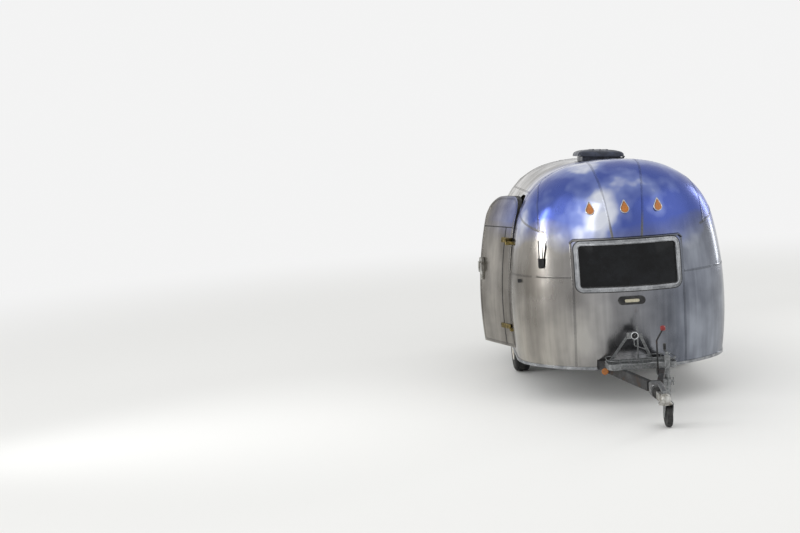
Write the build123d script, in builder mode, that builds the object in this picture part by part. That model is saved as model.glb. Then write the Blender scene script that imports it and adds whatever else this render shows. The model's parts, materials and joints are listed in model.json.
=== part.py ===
from build123d import *
import os
from math import asin, cos, radians, sin, sqrt

# A single-axle touring caravan with a riveted aluminium shell, at full size in millimetres.
# The origin is the centre of the coupling's ball socket. +Z is up, the front faces -Y,
# and the door is on the -X side, which is the kerb side.

os.makedirs("parts", exist_ok=True)

# Heights are given above the ground, which lies this far below the ball socket.
ball_height = 400.0

# Shell: where it starts behind the ball, and its main sizes
front_y = 1380.0
body_length = 4000.0
cap_depth = 1000.0
half_width = 1100.0
wall_thickness = 45.0
shell_bottom = 380.0
widest_height = 950.0
roof_height = 2420.0
roof_seam_height = 2120.0

# Seams of the rounded ends: a dome above the belt line, and a panel between two quarters below it
belt_height = 1695.0
quarter_x = 540.0

# Cross-section arcs: bulging wall, shoulder, crowned roof
wall_radius = 3600.0
shoulder_radius = 780.0
crown_radius = 2000.0

# Side profile arcs of both ends, and the bow of the ends seen from above
end_wall_radius = 3000.0
end_shoulder_radius = 800.0
bow_radius = 1200.0

# Levels through which the shell's skin is lofted, evenly spaced along its profile
hull_levels = [
    380.0, 572.0, 765.0, 959.0, 1153.0, 1346.0, 1538.0, 1728.0,
    1913.0, 2082.0, 2224.0, 2328.0, 2390.0, 2417.0,
]

# Windows: frame flange, sleeve and glass
flange_width = 28.0
flange_height = 7.0
sleeve_width = 14.0
glass_depth = 10.0
glass_thickness = 5.0
window_corner = 45.0

# Window places: side, distance behind the front or offset from the centre, height, width, tall
end_windows = [
    # end, height of centre, width, tall
    ("front", 1404.0, 975.0, 437.0),
    ("rear", 1404.0, 975.0, 437.0),
]
side_windows = [
    # side of the caravan, distance behind the shell's front, height of centre, width, tall
    ("kerb", 2450.0, 1430.0, 560.0, 400.0),
    ("street", 1350.0, 1430.0, 560.0, 400.0),
    ("street", 2450.0, 1430.0, 560.0, 400.0),
]

# Door, hinged at its front edge and standing ajar
door_front = 1010.0
door_width = 650.0
door_bottom = 480.0
door_top = 2080.0
door_corner = 210.0
door_gap = 6.0
door_ajar = 26.0
hinge_offset = 14.0
hinge_heights = [700.0, 1620.0]
knuckle_radius = 9.0
knuckle_half_length = 32.0
hinge_pin_radius = 4.0

# Running gear
axle_distance = 2160.0
wheel_centre_height = 330.0
tyre_radius = 330.0
wheel_track = 1860.0
arch_radius = 400.0
arch_top = 770.0
well_inner_half = 700.0

# Chassis: box rails, and the drawbar that narrows to the coupling
rail_width = 50.0
rail_tall = 90.0
rail_top = 480.0
rail_spacing = 1200.0
drawbar_tip = 410.0
drawbar_brace = 250.0
cross_members = [1050.0, 1820.0, 2600.0, 3600.0]

# Jockey wheel on the drawbar's street side
jockey_y = 580.0
jockey_outer_radius = 24.0
jockey_inner_radius = 19.0
jockey_wheel_radius = 105.0
jockey_trail = 45.0


def above(height):
    """Height above the ground as a Z value."""
    return height - ball_height


def arc_meeting(centre_a, reach_a, centre_b, reach_b):
    """The point at given distances from two centres, on their left."""
    across = centre_b[0] - centre_a[0]
    along = centre_b[1] - centre_a[1]
    gap = sqrt(across**2 + along**2)
    foot = (reach_a**2 - reach_b**2 + gap**2) / (2 * gap)
    rise = sqrt(reach_a**2 - foot**2)
    unit = (across / gap, along / gap)
    return (
        centre_a[0] + unit[0] * foot - unit[1] * rise,
        centre_a[1] + unit[1] * foot + unit[0] * rise,
    )


crown_centre = (0.0, roof_height - crown_radius)
wall_centre = (half_width - wall_radius, widest_height)
shoulder_centre = arc_meeting(
    wall_centre, wall_radius - shoulder_radius, crown_centre, crown_radius - shoulder_radius
)
end_shoulder_height = roof_height - end_shoulder_radius
end_reach = end_wall_radius - end_shoulder_radius
end_shoulder_back = end_wall_radius - sqrt(end_reach**2 - (end_shoulder_height - widest_height) ** 2)


def half_width_at(height, inset=0.0):
    """Half width of the shell at a height, for a skin set in by a distance."""
    reach = (shoulder_radius - inset) / (crown_radius - shoulder_radius)
    crown_from = shoulder_centre[1] + (shoulder_centre[1] - crown_centre[1]) * reach
    reach = (shoulder_radius - inset) / (wall_radius - shoulder_radius)
    wall_to = shoulder_centre[1] + (shoulder_centre[1] - wall_centre[1]) * reach
    if height <= wall_to:
        return wall_centre[0] + sqrt((wall_radius - inset) ** 2 - (height - widest_height) ** 2)
    if height <= crown_from:
        rise = height - shoulder_centre[1]
        return shoulder_centre[0] + sqrt((shoulder_radius - inset) ** 2 - rise**2)
    return sqrt((crown_radius - inset) ** 2 - (height - crown_centre[1]) ** 2)


def end_inset_at(height, inset=0.0):
    """How far the end wall stands behind its foremost point at a height."""
    lean = (end_shoulder_height - widest_height) / end_reach
    wall_to = end_shoulder_height + lean * (end_shoulder_radius - inset)
    if height <= wall_to:
        return end_wall_radius - sqrt((end_wall_radius - inset) ** 2 - (height - widest_height) ** 2)
    rise = height - end_shoulder_height
    return end_shoulder_back - sqrt((end_shoulder_radius - inset) ** 2 - rise**2)


def outline_sizes(height, inset=0.0):
    """The outline's half width, foremost Y, corner radius and corner centre at a height."""
    wide = half_width_at(height, inset)
    front = front_y + end_inset_at(height, inset)
    corner = wide * (0.885 - 0.3 * wide / half_width) - inset * 0.8
    corner = min(max(corner, 0.35 * wide), 0.92 * wide)
    corner_x = wide - corner
    corner_y = front + bow_radius - sqrt((bow_radius - corner) ** 2 - corner_x**2)
    return wide, front, corner, corner_x, corner_y


def hull_outline(height, inset=0.0):
    """Draws the shell's outline at a height: a bowed front and rear, round corners, straight sides."""
    wide, front, corner, corner_x, corner_y = outline_sizes(height, inset)
    rear = 2 * front_y + body_length - front
    bow = bow_radius - corner
    toward = (corner_x / bow, (corner_y - front - bow_radius) / bow)
    meet_x = corner_x + corner * toward[0]
    meet_y = corner_y + corner * toward[1]
    middle_angle = (radians(90.0) - asin(toward[0])) / 2
    middle_x = corner_x + corner * cos(middle_angle)
    middle_y = corner_y - corner * sin(middle_angle)
    mirror = front + rear
    ThreePointArc((-meet_x, meet_y), (0, front), (meet_x, meet_y))
    ThreePointArc((meet_x, meet_y), (middle_x, middle_y), (wide, corner_y))
    Line((wide, corner_y), (wide, mirror - corner_y))
    ThreePointArc((wide, mirror - corner_y), (middle_x, mirror - middle_y), (meet_x, mirror - meet_y))
    ThreePointArc((meet_x, mirror - meet_y), (0, rear), (-meet_x, mirror - meet_y))
    ThreePointArc((-meet_x, mirror - meet_y), (-middle_x, mirror - middle_y), (-wide, mirror - corner_y))
    Line((-wide, mirror - corner_y), (-wide, corner_y))
    ThreePointArc((-wide, corner_y), (-middle_x, middle_y), (-meet_x, meet_y))


def skin_distance(x, height):
    """How far behind the front the skin stands at an offset from the centre line."""
    wide, front, corner, corner_x, corner_y = outline_sizes(height)
    if abs(x) > corner_x * bow_radius / (bow_radius - corner):
        return corner_y - sqrt(corner**2 - (abs(x) - corner_x) ** 2) - front_y
    return front + bow_radius - sqrt(bow_radius**2 - x**2) - front_y


def skin_offset(distance, height):
    """How far from the centre line the skin stands at a distance behind the front."""
    wide, front, corner, corner_x, corner_y = outline_sizes(height)
    back = corner_y - front_y - distance
    return wide if back < 0 else corner_x + sqrt(corner**2 - back**2)


def hull_solid(inset, bottom=shell_bottom):
    """A closed solid inside the shell's outline, set in by a distance all over."""
    with BuildPart() as hull:
        for level in hull_levels:
            height = max(level, bottom)
            top_room = roof_height - inset
            share = (height - widest_height) / (roof_height - widest_height)
            if share > 0:
                height = widest_height + share * (top_room - widest_height)
            with BuildSketch(Plane.XY.offset(above(height))):
                with BuildLine():
                    hull_outline(height, inset)
                make_face()
        loft()
    return hull.part


def side_plane(x, distance, height):
    """A plane that faces +X, with its sketch axes along +Y and +Z."""
    return Plane(origin=(x, front_y + distance, above(height)), x_dir=(0, 1, 0), z_dir=(1, 0, 0))


def end_plane(distance, height, x=0.0):
    """A plane that faces -Y, with its sketch axes along +X and +Z."""
    return Plane(origin=(x, front_y + distance, above(height)), x_dir=(1, 0, 0), z_dir=(0, -1, 0))


def save(part, label):
    """Labels a finished piece and writes it."""
    part.label = label
    export_step(part, f"parts/{label}.step")


# Skins of the shell, from outside to inside
flange_skin = hull_solid(-flange_height)
outer_hull = hull_solid(0.0)
glass_outer = hull_solid(glass_depth)
glass_inner = hull_solid(glass_depth + glass_thickness)
inner_hull = hull_solid(wall_thickness)

with BuildPart() as wall_shell:
    add(outer_hull)
    add(inner_hull, mode=Mode.SUBTRACT)


def window_places():
    """Yields a plane outside the shell, the way in, the size and the name of each window."""
    for end, height, width, tall in end_windows:
        distance = -200.0 if end == "front" else body_length + 200.0
        yield end, end_plane(distance, height), -600.0 if end == "front" else 600.0, width, tall
    for side, distance, height, width, tall in side_windows:
        x = -1200.0 if side == "kerb" else 1200.0
        yield side, side_plane(x, distance, height), 500.0 if side == "kerb" else -500.0, width, tall


# Window openings
with BuildPart() as window_cuts:
    for name, plane, depth, width, tall in window_places():
        with BuildSketch(plane):
            RectangleRounded(width, tall, window_corner)
        extrude(amount=depth)

# Arches over the wheels
with BuildPart() as arch_cuts:
    for x, depth in [(-1200.0, 400.0), (1200.0, -400.0)]:
        with BuildSketch(side_plane(x, axle_distance, arch_top / 2)):
            RectangleRounded(2 * arch_radius, arch_top, 200.0)
        extrude(amount=depth)

# Door axis, and the cylinder that the door's free edge follows
hinge_x = -(half_width + hinge_offset)
hinge_y = front_y + door_front
hinge_axis = Axis((hinge_x, hinge_y, 0), (0, 0, 1))


def door_cutter(gap):
    """The door's own space in the wall, with the same gap all round."""
    tall = door_top - door_bottom + 2 * gap
    middle = (door_top + door_bottom) / 2
    with BuildPart() as cutter:
        with BuildSketch(side_plane(-1400.0, door_front + door_width / 2, middle)):
            RectangleRounded(door_width + 2 * gap, tall, door_corner + gap)
            with Locations((0, -tall / 4)):
                Rectangle(door_width + 2 * gap, tall / 2)
        extrude(amount=800.0)
        with BuildSketch(Plane(origin=(hinge_x, hinge_y, above(door_bottom - 100)))):
            Circle(door_width + gap)
        extrude(amount=door_top - door_bottom + 200, mode=Mode.INTERSECT)
    return cutter.part


door_space = door_cutter(door_gap)
door_body = door_cutter(0.0)

# Drawbar line: its rails run from behind the coupling to the chassis rails
rail_low = rail_top - rail_tall
drawbar_run = front_y + 1000.0 - drawbar_tip
drawbar_half_tip = 45.0
drawbar_half_end = rail_spacing / 2 - rail_width / 2 - 30.0
drawbar_lean = (drawbar_half_end - drawbar_half_tip) / drawbar_run
drawbar_stop = front_y + 1018.0


def drawbar_x(y):
    """Distance of a drawbar rail's middle from the centre line."""
    return drawbar_half_tip + (y - drawbar_tip) * drawbar_lean


def drawbar_rail(side, half):
    """Outline of one drawbar rail, with a half width."""
    near = drawbar_x(drawbar_tip)
    far = drawbar_x(drawbar_stop)
    Polyline(
        (side * (near - half), drawbar_tip),
        (side * (near + half), drawbar_tip),
        (side * (far + half), drawbar_stop),
        (side * (far - half), drawbar_stop),
        close=True,
    )


# Notches in the skirt, where the drawbar and the bumper's arms come out
notch_gap = 6.0
notch_top = rail_top + notch_gap
with BuildPart() as notches:
    for side in [-1, 1]:
        with BuildSketch(Plane.XY.offset(above(shell_bottom - 20.0))):
            with BuildLine():
                drawbar_rail(side, rail_width / 2 + notch_gap)
            make_face()
            with Locations((side * rail_spacing / 2, front_y + body_length)):
                Rectangle(rail_width + 2 * notch_gap, 600.0)
        extrude(amount=notch_top - shell_bottom + 20.0)

# Rounded ends of the shell, each riveted up from a dome, a middle panel and two quarters
end_cuts = [
    # end, distance of its seam behind the front, the side of that seam it lies on
    ("front", cap_depth, Keep.TOP),
    ("rear", body_length - cap_depth, Keep.BOTTOM),
]
for end, distance, end_side in end_cuts:
    with BuildPart() as cap:
        add(wall_shell.part)
        add(window_cuts.part, mode=Mode.SUBTRACT)
        add(notches.part, mode=Mode.SUBTRACT)
        split(bisect_by=Plane.XZ.offset(-(front_y + distance)), keep=end_side)
    with BuildPart() as dome:
        add(cap.part)
        split(bisect_by=Plane.XY.offset(above(belt_height)), keep=Keep.TOP)
    with BuildPart() as skirt:
        add(cap.part)
        split(bisect_by=Plane.XY.offset(above(belt_height)), keep=Keep.BOTTOM)
    with BuildPart() as middle_panel:
        add(skirt.part)
        split(bisect_by=Plane.YZ.offset(-quarter_x), keep=Keep.TOP)
        split(bisect_by=Plane.YZ.offset(quarter_x), keep=Keep.BOTTOM)
    with BuildPart() as kerb_quarter:
        add(skirt.part)
        split(bisect_by=Plane.YZ.offset(-quarter_x), keep=Keep.BOTTOM)
    with BuildPart() as street_quarter:
        add(skirt.part)
        split(bisect_by=Plane.YZ.offset(quarter_x), keep=Keep.TOP)
    save(dome.part, f"{end}_dome")
    save(middle_panel.part, f"{end}_panel")
    save(kerb_quarter.part, f"{end}_kerb_quarter")
    save(street_quarter.part, f"{end}_street_quarter")

# Middle of the shell, cut into roof and two walls
with BuildPart() as middle_shell:
    add(wall_shell.part)
    add(window_cuts.part, mode=Mode.SUBTRACT)
    add(arch_cuts.part, mode=Mode.SUBTRACT)
    add(door_space, mode=Mode.SUBTRACT)
    split(bisect_by=Plane.XZ.offset(-(front_y + cap_depth)), keep=Keep.BOTTOM)
    split(bisect_by=Plane.XZ.offset(-(front_y + body_length - cap_depth)), keep=Keep.TOP)

vent_distance = 1700.0
vent_opening = 356.0
with BuildPart() as roof:
    add(middle_shell.part)
    split(bisect_by=Plane.XY.offset(above(roof_seam_height)), keep=Keep.TOP)
    with BuildSketch(Plane(origin=(0, front_y + vent_distance, above(2200.0)))):
        Rectangle(vent_opening, vent_opening)
    extrude(amount=400.0, mode=Mode.SUBTRACT)

with BuildPart() as kerb_wall:
    add(middle_shell.part)
    split(bisect_by=Plane.XY.offset(above(roof_seam_height)), keep=Keep.BOTTOM)
    split(bisect_by=Plane.YZ, keep=Keep.BOTTOM)

with BuildPart() as street_wall:
    add(middle_shell.part)
    split(bisect_by=Plane.XY.offset(above(roof_seam_height)), keep=Keep.BOTTOM)
    split(bisect_by=Plane.YZ, keep=Keep.TOP)

save(roof.part, "roof")
save(kerb_wall.part, "kerb_wall")
save(street_wall.part, "street_wall")

# Door: a piece of the same wall, turned to where it stands ajar
with BuildPart() as door_panel:
    add(wall_shell.part)
    add(door_body, mode=Mode.INTERSECT)
save(door_panel.part.rotate(hinge_axis, door_ajar), "door_panel")


def window_ring(plane, depth, width, tall, outside, skin, backing):
    """The stretch of a skin round a window, from outside its edge to the sleeve's inside."""
    inside = sleeve_width
    with BuildPart() as ring:
        with BuildSketch(plane):
            RectangleRounded(width + 2 * outside, tall + 2 * outside, window_corner + outside)
            RectangleRounded(
                width - 2 * inside, tall - 2 * inside, window_corner - inside, mode=Mode.SUBTRACT
            )
        extrude(amount=depth)
        add(skin, mode=Mode.INTERSECT)
        add(backing, mode=Mode.SUBTRACT)
    return ring.part


def window_frame(plane, depth, width, tall):
    """A flange that lies on the skin, and a sleeve that lines the opening."""
    with BuildPart() as frame:
        add(window_ring(plane, depth, width, tall, flange_width, flange_skin, outer_hull))
        add(window_ring(plane, depth, width, tall, 0.0, outer_hull, inner_hull))
    return frame.part


def window_pane(plane, depth, width, tall):
    """Curved glass between the sleeve's sides."""
    with BuildPart() as pane:
        with BuildSketch(plane):
            RectangleRounded(
                width - 2 * sleeve_width, tall - 2 * sleeve_width, window_corner - sleeve_width
            )
        extrude(amount=depth)
        add(glass_outer, mode=Mode.INTERSECT)
        add(glass_inner, mode=Mode.SUBTRACT)
    return pane.part


for group, members in [("end", ("front", "rear")), ("side", ("kerb", "street"))]:
    with BuildPart() as frames:
        for name, plane, depth, width, tall in window_places():
            if name in members:
                add(window_frame(plane, depth, width, tall))
    with BuildPart() as panes:
        for name, plane, depth, width, tall in window_places():
            if name in members:
                add(window_pane(plane, depth, width, tall))
    save(frames.part, f"{group}_window_frames")
    save(panes.part, f"{group}_window_glass")

# Door handle near the free edge: a long plate, a pivot and a lever that hangs down
handle_distance = door_front + 592.0
handle_height = 1295.0
pivot_height = handle_height + 70.0
with BuildPart() as door_handle:
    with BuildSketch(side_plane(-half_width - 8.0, handle_distance, handle_height)):
        RectangleRounded(52.0, 250.0, 20.0)
    extrude(amount=30.0)
    with BuildSketch(side_plane(-half_width - 28.0, handle_distance, pivot_height)):
        Circle(11.0)
    extrude(amount=34.0)
    with BuildSketch(side_plane(-half_width - 34.0, handle_distance, pivot_height - 46.0)):
        SlotOverall(120.0, 24.0, rotation=90)
    extrude(amount=10.0)
    add(outer_hull, mode=Mode.SUBTRACT)
save(door_handle.part.rotate(hinge_axis, door_ajar), "door_handle")

# Door hinges: arms that stand off the curved wall to a straight pin line
with BuildPart() as hinge_bodies:
    for height in hinge_heights:
        base = above(height) - knuckle_half_length
        with BuildSketch(Plane(origin=(hinge_x, hinge_y, base))):
            Circle(knuckle_radius)
            with Locations((48.0, -28.0)):
                Rectangle(100.0, 40.0)
        extrude(amount=knuckle_half_length - 1.0)
        with BuildSketch(Plane(origin=(hinge_x, hinge_y, base))):
            Circle(hinge_pin_radius + 0.4)
        extrude(amount=knuckle_half_length, mode=Mode.SUBTRACT)
    add(outer_hull, mode=Mode.SUBTRACT)
save(hinge_bodies.part, "hinge_bodies")

with BuildPart() as hinge_straps:
    for height in hinge_heights:
        with BuildSketch(side_plane(-1400.0, door_front + 118.0, height + 6.0)):
            RectangleRounded(204.0, 52.0, 12.0)
    extrude(amount=500.0)
    add(flange_skin, mode=Mode.INTERSECT)

with BuildPart() as hinge_leaves:
    add(hinge_straps.part)
    for height in hinge_heights:
        base = above(height) + 1.0
        with BuildSketch(Plane(origin=(hinge_x, hinge_y, base))):
            Circle(knuckle_radius)
            with Locations((48.0, 27.5)):
                Rectangle(100.0, 55.0)
        extrude(amount=knuckle_half_length - 1.0)
        with BuildSketch(Plane(origin=(hinge_x, hinge_y, base - knuckle_half_length + 3.0))):
            Circle(hinge_pin_radius)
        extrude(amount=knuckle_half_length)
    add(outer_hull, mode=Mode.SUBTRACT)
save(hinge_leaves.part.rotate(hinge_axis, door_ajar), "hinge_leaves")

# Hold-back catch for the open door, on the front corner
catch_distance = 590.0
catch_height = 1250.0
catch_x = -skin_offset(catch_distance, catch_height) - 24.0
with BuildPart() as door_catch:
    with BuildSketch(side_plane(catch_x, catch_distance, catch_height)):
        RectangleRounded(46.0, 36.0, 8.0)
    extrude(amount=60.0)
    add(outer_hull, mode=Mode.SUBTRACT)
save(door_catch.part, "door_catch")

# Awning-arm bracket on the front corner: a base and two upright prongs
bracket_x = -820.0
bracket_height = 1440.0
bracket_distance = skin_distance(bracket_x, bracket_height)
prongs = [
    # offset from the bracket's middle, length
    (-17.0, 190.0),
    (17.0, 140.0),
]
with BuildPart() as corner_bracket:
    with BuildSketch(end_plane(bracket_distance - 42.0, bracket_height, bracket_x)):
        RectangleRounded(52.0, 96.0, 10.0)
    extrude(amount=-110.0)
    for offset, length in prongs:
        prong_y = front_y + bracket_distance - 30.0
        with BuildSketch(Plane(origin=(bracket_x + offset, prong_y, above(bracket_height + 40.0)))):
            Circle(6.0)
        extrude(amount=length)
    add(outer_hull, mode=Mode.SUBTRACT)
save(corner_bracket.part, "corner_bracket")

# Clearance lamps: three teardrops at each end
lamp_skin = hull_solid(-24.0)
lamp_height = 1960.0
lamp_spacing = 331.0
for end, distance, depth in [("front", -200.0, -700.0), ("rear", body_length + 200.0, 700.0)]:
    with BuildPart() as lamps:
        for step in [-1, 0, 1]:
            with BuildSketch(end_plane(distance, lamp_height, step * lamp_spacing)):
                with BuildLine():
                    ThreePointArc((-33.0, -8.0), (0, -48.0), (33.0, -8.0))
                    Line((33.0, -8.0), (0, 58.0))
                    Line((0, 58.0), (-33.0, -8.0))
                make_face()
            extrude(amount=depth)
        add(lamp_skin, mode=Mode.INTERSECT)
        add(outer_hull, mode=Mode.SUBTRACT)
    save(lamps.part, f"{end}_marker_lamps")

# Porch lamp under the front window: dark oval housing and pale lens
porch_height = 1068.0
with BuildPart() as porch_lamp:
    with BuildSketch(end_plane(-24.0, porch_height)):
        SlotOverall(260.0, 80.0)
    extrude(amount=-60.0)
    add(outer_hull, mode=Mode.SUBTRACT)
save(porch_lamp.part, "porch_lamp")

with BuildPart() as porch_lens:
    with BuildSketch(end_plane(-34.0, porch_height)):
        SlotOverall(140.0, 30.0)
    extrude(amount=-10.0)
save(porch_lens.part, "porch_lens")

# Tail lamps and number plate at the rear
with BuildPart() as tail_lamps:
    for x in [-640.0, 640.0]:
        with BuildSketch(end_plane(body_length + 20.0, 850.0, x)):
            Circle(70.0)
        extrude(amount=330.0)
    add(lamp_skin, mode=Mode.INTERSECT)
    add(outer_hull, mode=Mode.SUBTRACT)
save(tail_lamps.part, "tail_lamps")

with BuildPart() as number_plate:
    with BuildSketch(end_plane(body_length - end_inset_at(760.0) + 14.0, 760.0)):
        RectangleRounded(320.0, 160.0, 12.0)
    extrude(amount=70.0)
    add(outer_hull, mode=Mode.SUBTRACT)
save(number_plate.part, "number_plate")

# Trim band round the shell's bottom edge
with BuildPart() as rub_rail:
    with BuildSketch(Plane.XY.offset(above(shell_bottom))):
        with BuildLine():
            hull_outline(shell_bottom, -12.0)
        make_face()
    extrude(amount=28.0)
    add(outer_hull, mode=Mode.SUBTRACT)
    with BuildSketch(Plane.XY.offset(above(shell_bottom - 10.0))):
        with BuildLine():
            hull_outline(shell_bottom, 5.0)
        make_face()
        with Locations((0, front_y + axle_distance)):
            Rectangle(3000.0, 2 * arch_radius)
    extrude(amount=80.0, mode=Mode.SUBTRACT)
    add(notches.part, mode=Mode.SUBTRACT)
save(rub_rail.part, "rub_rail")

# Wheel wells: inverted boxes inside the cabin
well_half = 430.0
well_top = 800.0
sheet = 4.0
with BuildPart() as wheel_wells:
    for side in [-1, 1]:
        with BuildSketch(Plane(origin=(side * 850.0, front_y + axle_distance, above(shell_bottom)))):
            Rectangle(2 * (850.0 - well_inner_half), 2 * well_half)
        extrude(amount=well_top - shell_bottom)
    for side in [-1, 1]:
        with BuildSketch(Plane(origin=(side * 850.0, front_y + axle_distance, above(shell_bottom)))):
            with Locations((side * 20.0, 0)):
                Rectangle(2 * (850.0 - well_inner_half) - 2 * sheet + 40.0, 2 * (well_half - sheet))
        extrude(amount=well_top - shell_bottom - sheet, mode=Mode.SUBTRACT)
    add(inner_hull, mode=Mode.INTERSECT)
save(wheel_wells.part, "wheel_wells")

# Floor board inside the shell, open at the wheel wells
floor_thickness = 30.0
with BuildPart() as floor:
    with BuildSketch(Plane.XY.offset(above(rail_top))):
        with BuildLine():
            hull_outline(rail_top, wall_thickness + 6.0)
        make_face()
        for side in [-1, 1]:
            with Locations((side * 1100.0, front_y + axle_distance)):
                Rectangle(2 * (1100.0 - well_inner_half), 2 * well_half, mode=Mode.SUBTRACT)
    extrude(amount=floor_thickness)
save(floor.part, "floor")

# Chassis rails and cross members
with BuildPart() as chassis:
    for side in [-1, 1]:
        with BuildSketch(Plane.XY.offset(above(rail_low))):
            with Locations((side * rail_spacing / 2, front_y + 2450.0)):
                Rectangle(rail_width, 2900.0)
        extrude(amount=rail_tall)
    for distance in cross_members:
        with BuildSketch(Plane.XY.offset(above(rail_low + 20.0))):
            with Locations((0, front_y + distance)):
                Rectangle(rail_spacing - rail_width, 60.0)
        extrude(amount=rail_tall - 20.0)
save(chassis.part, "chassis")

# Drawbar: two rails that meet behind the coupling
with BuildPart() as drawbar:
    for side in [-1, 1]:
        with BuildSketch(Plane.XY.offset(above(rail_low))):
            with BuildLine():
                drawbar_rail(side, rail_width / 2)
            make_face()
        extrude(amount=rail_tall)
    with BuildSketch(Plane.XY.offset(above(rail_low))):
        with Locations((0, drawbar_tip + 10.0)):
            Rectangle(2 * drawbar_half_tip, 20.0)
        with Locations((0, front_y + drawbar_brace)):
            Rectangle(2 * drawbar_x(front_y + drawbar_brace), 50.0)
    extrude(amount=rail_tall)
save(drawbar.part, "drawbar")

# Coupling: a stamped head round the ball socket, and the shaft that carries it
socket_radius = 25.5
shaft_radius = 25.0
housing_front = 290.0
with BuildPart() as coupler:
    with BuildSketch(Plane.XZ):
        with BuildLine():
            Polyline(
                # rim, waist, shoulder and crown of the head
                (0, -36.0), (60.0, -36.0), (60.0, -26.0), (48.0, -18.0), (48.0, 12.0), (38.0, 42.0),
                (16.0, 56.0), (0, 56.0),
                close=True,
            )
        make_face()
    revolve(axis=Axis.Z)
    with BuildSketch(Plane.XZ.offset(-10.0)):
        with Locations((0, 12.0)):
            Rectangle(80.0, 72.0)
    with BuildSketch(Plane.XZ.offset(-160.0)):
        with Locations((0, 6.0)):
            Rectangle(84.0, 68.0)
    loft(ruled=True)
    with BuildSketch(Plane.XZ.offset(-160.0)):
        Circle(shaft_radius)
    extrude(amount=-(housing_front - 160.0))
    with BuildSketch(Plane.XY.offset(-40.0)):
        Circle(socket_radius)
    extrude(amount=46.0, mode=Mode.SUBTRACT)
    with Locations((0, 0, 6.0)):
        Cone(socket_radius, 12.0, 22.0, align=(Align.CENTER, Align.CENTER, Align.MIN), mode=Mode.SUBTRACT)
save(coupler.part, "coupler")

# Coupling latch lever, lying back over the head
with BuildPart() as coupler_latch:
    with BuildSketch(Plane.YZ.offset(-15.0)):
        with BuildLine():
            Polyline((4.0, 50.0), (60.0, 50.0), (200.0, 84.0), (200.0, 98.0), (14.0, 74.0), close=True)
        make_face()
    extrude(amount=30.0)
    add(coupler.part, mode=Mode.SUBTRACT)
save(coupler_latch.part, "coupler_latch")

# Rubber gaiter round the shaft, and the cast housing that joins it to the drawbar
gaiter_folds = [
    # distance behind the ball, radius of the fold
    (180.0, 34.0), (192.0, 50.0), (204.0, 36.0), (216.0, 52.0), (228.0, 38.0),
    (240.0, 54.0), (252.0, 40.0), (264.0, 55.0), (276.0, 42.0), (290.0, 50.0),
]
with BuildPart() as coupling_gaiter:
    with BuildSketch(Plane.YZ):
        with BuildLine():
            Polyline(
                (gaiter_folds[0][0], shaft_radius + 3.0), *gaiter_folds, (housing_front, shaft_radius + 3.0),
                close=True,
            )
        make_face()
    revolve(axis=Axis.Y)
save(coupling_gaiter.part, "coupling_gaiter")

with BuildPart() as coupling_housing:
    with BuildSketch(Plane.XZ.offset(-housing_front)):
        with Locations((0, 20.0)):
            RectangleRounded(116.0, 116.0, 22.0)
    extrude(amount=-(drawbar_tip - housing_front))
save(coupling_housing.part, "coupling_housing")

# Handbrake lever on the drawbar's street side
brake_y = 880.0
brake_x = drawbar_x(brake_y) - 38.0
with BuildPart() as handbrake:
    with BuildSketch(side_plane(brake_x - 8.0, brake_y - front_y, rail_top - 20.0)):
        RectangleRounded(70.0, 60.0, 12.0)
    extrude(amount=16.0)
    with BuildLine() as lever_path:
        Polyline(
            (brake_x, brake_y, above(rail_top + 4.0)),
            (brake_x - 6.0, brake_y - 20.0, above(756.0)),
            (brake_x + 46.0, brake_y - 40.0, above(856.0)),
        )
    with BuildSketch(Plane(origin=lever_path.line @ 0, z_dir=lever_path.line % 0)):
        Circle(8.0)
    sweep(transition=Transition.ROUND)
    add(drawbar.part, mode=Mode.SUBTRACT)
save(handbrake.part, "handbrake_lever")

with BuildPart() as brake_knob:
    with BuildSketch(Plane(origin=(brake_x + 50.0, brake_y - 44.0, above(850.0)))):
        Circle(24.0)
    extrude(amount=44.0)
    chamfer(brake_knob.edges().filter_by(GeomType.CIRCLE), 9.0)
    add(handbrake.part, mode=Mode.SUBTRACT)
save(brake_knob.part, "brake_knob")

# Gas tray on the drawbar, with its upright hold-down rod
tray_y = 1060.0
with BuildPart() as gas_tray:
    with BuildSketch(Plane.XY.offset(above(rail_top))):
        with Locations((0, tray_y)):
            RectangleRounded(640.0, 260.0, 60.0)
    extrude(amount=50.0)
    with BuildSketch(Plane.XY.offset(above(rail_top + 5.0))):
        with Locations((0, tray_y)):
            RectangleRounded(632.0, 252.0, 56.0)
    extrude(amount=60.0, mode=Mode.SUBTRACT)
save(gas_tray.part, "gas_tray")

# Bottle frame behind the tray: a foot bar on the drawbar, two leaning struts and a threaded rod
frame_y = front_y - 160.0
rod_x = 12.0
struts = [
    # foot and top of each strut across the drawbar, with their heights
    (-282.0, rail_top, -70.0, 762.0),
    (150.0, rail_top, 34.0, 762.0),
]
with BuildPart() as hold_down:
    with BuildSketch(Plane(origin=(rod_x, frame_y, above(rail_top)))):
        Circle(8.0)
    extrude(amount=370.0)
    for foot_x, foot_height, top_x, top_height in struts:
        with BuildSketch(Plane(origin=(0, frame_y + 4.0, 0), x_dir=(1, 0, 0), z_dir=(0, -1, 0))):
            with BuildLine():
                Polyline(
                    (foot_x - 15.0, above(foot_height)),
                    (foot_x + 15.0, above(foot_height)),
                    (top_x + 15.0, above(top_height)),
                    (top_x - 15.0, above(top_height)),
                    close=True,
                )
            make_face()
        extrude(amount=6.0)
    with BuildSketch(end_plane(frame_y - 2.0 - front_y, 748.0, -18.0)):
        RectangleRounded(148.0, 34.0, 8.0)
    extrude(amount=-6.0)
    with BuildSketch(Plane(origin=(0, frame_y, above(rail_top)))):
        Rectangle(2 * drawbar_x(frame_y) + 110.0, 50.0)
    extrude(amount=8.0)
save(hold_down.part, "hold_down")

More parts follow.
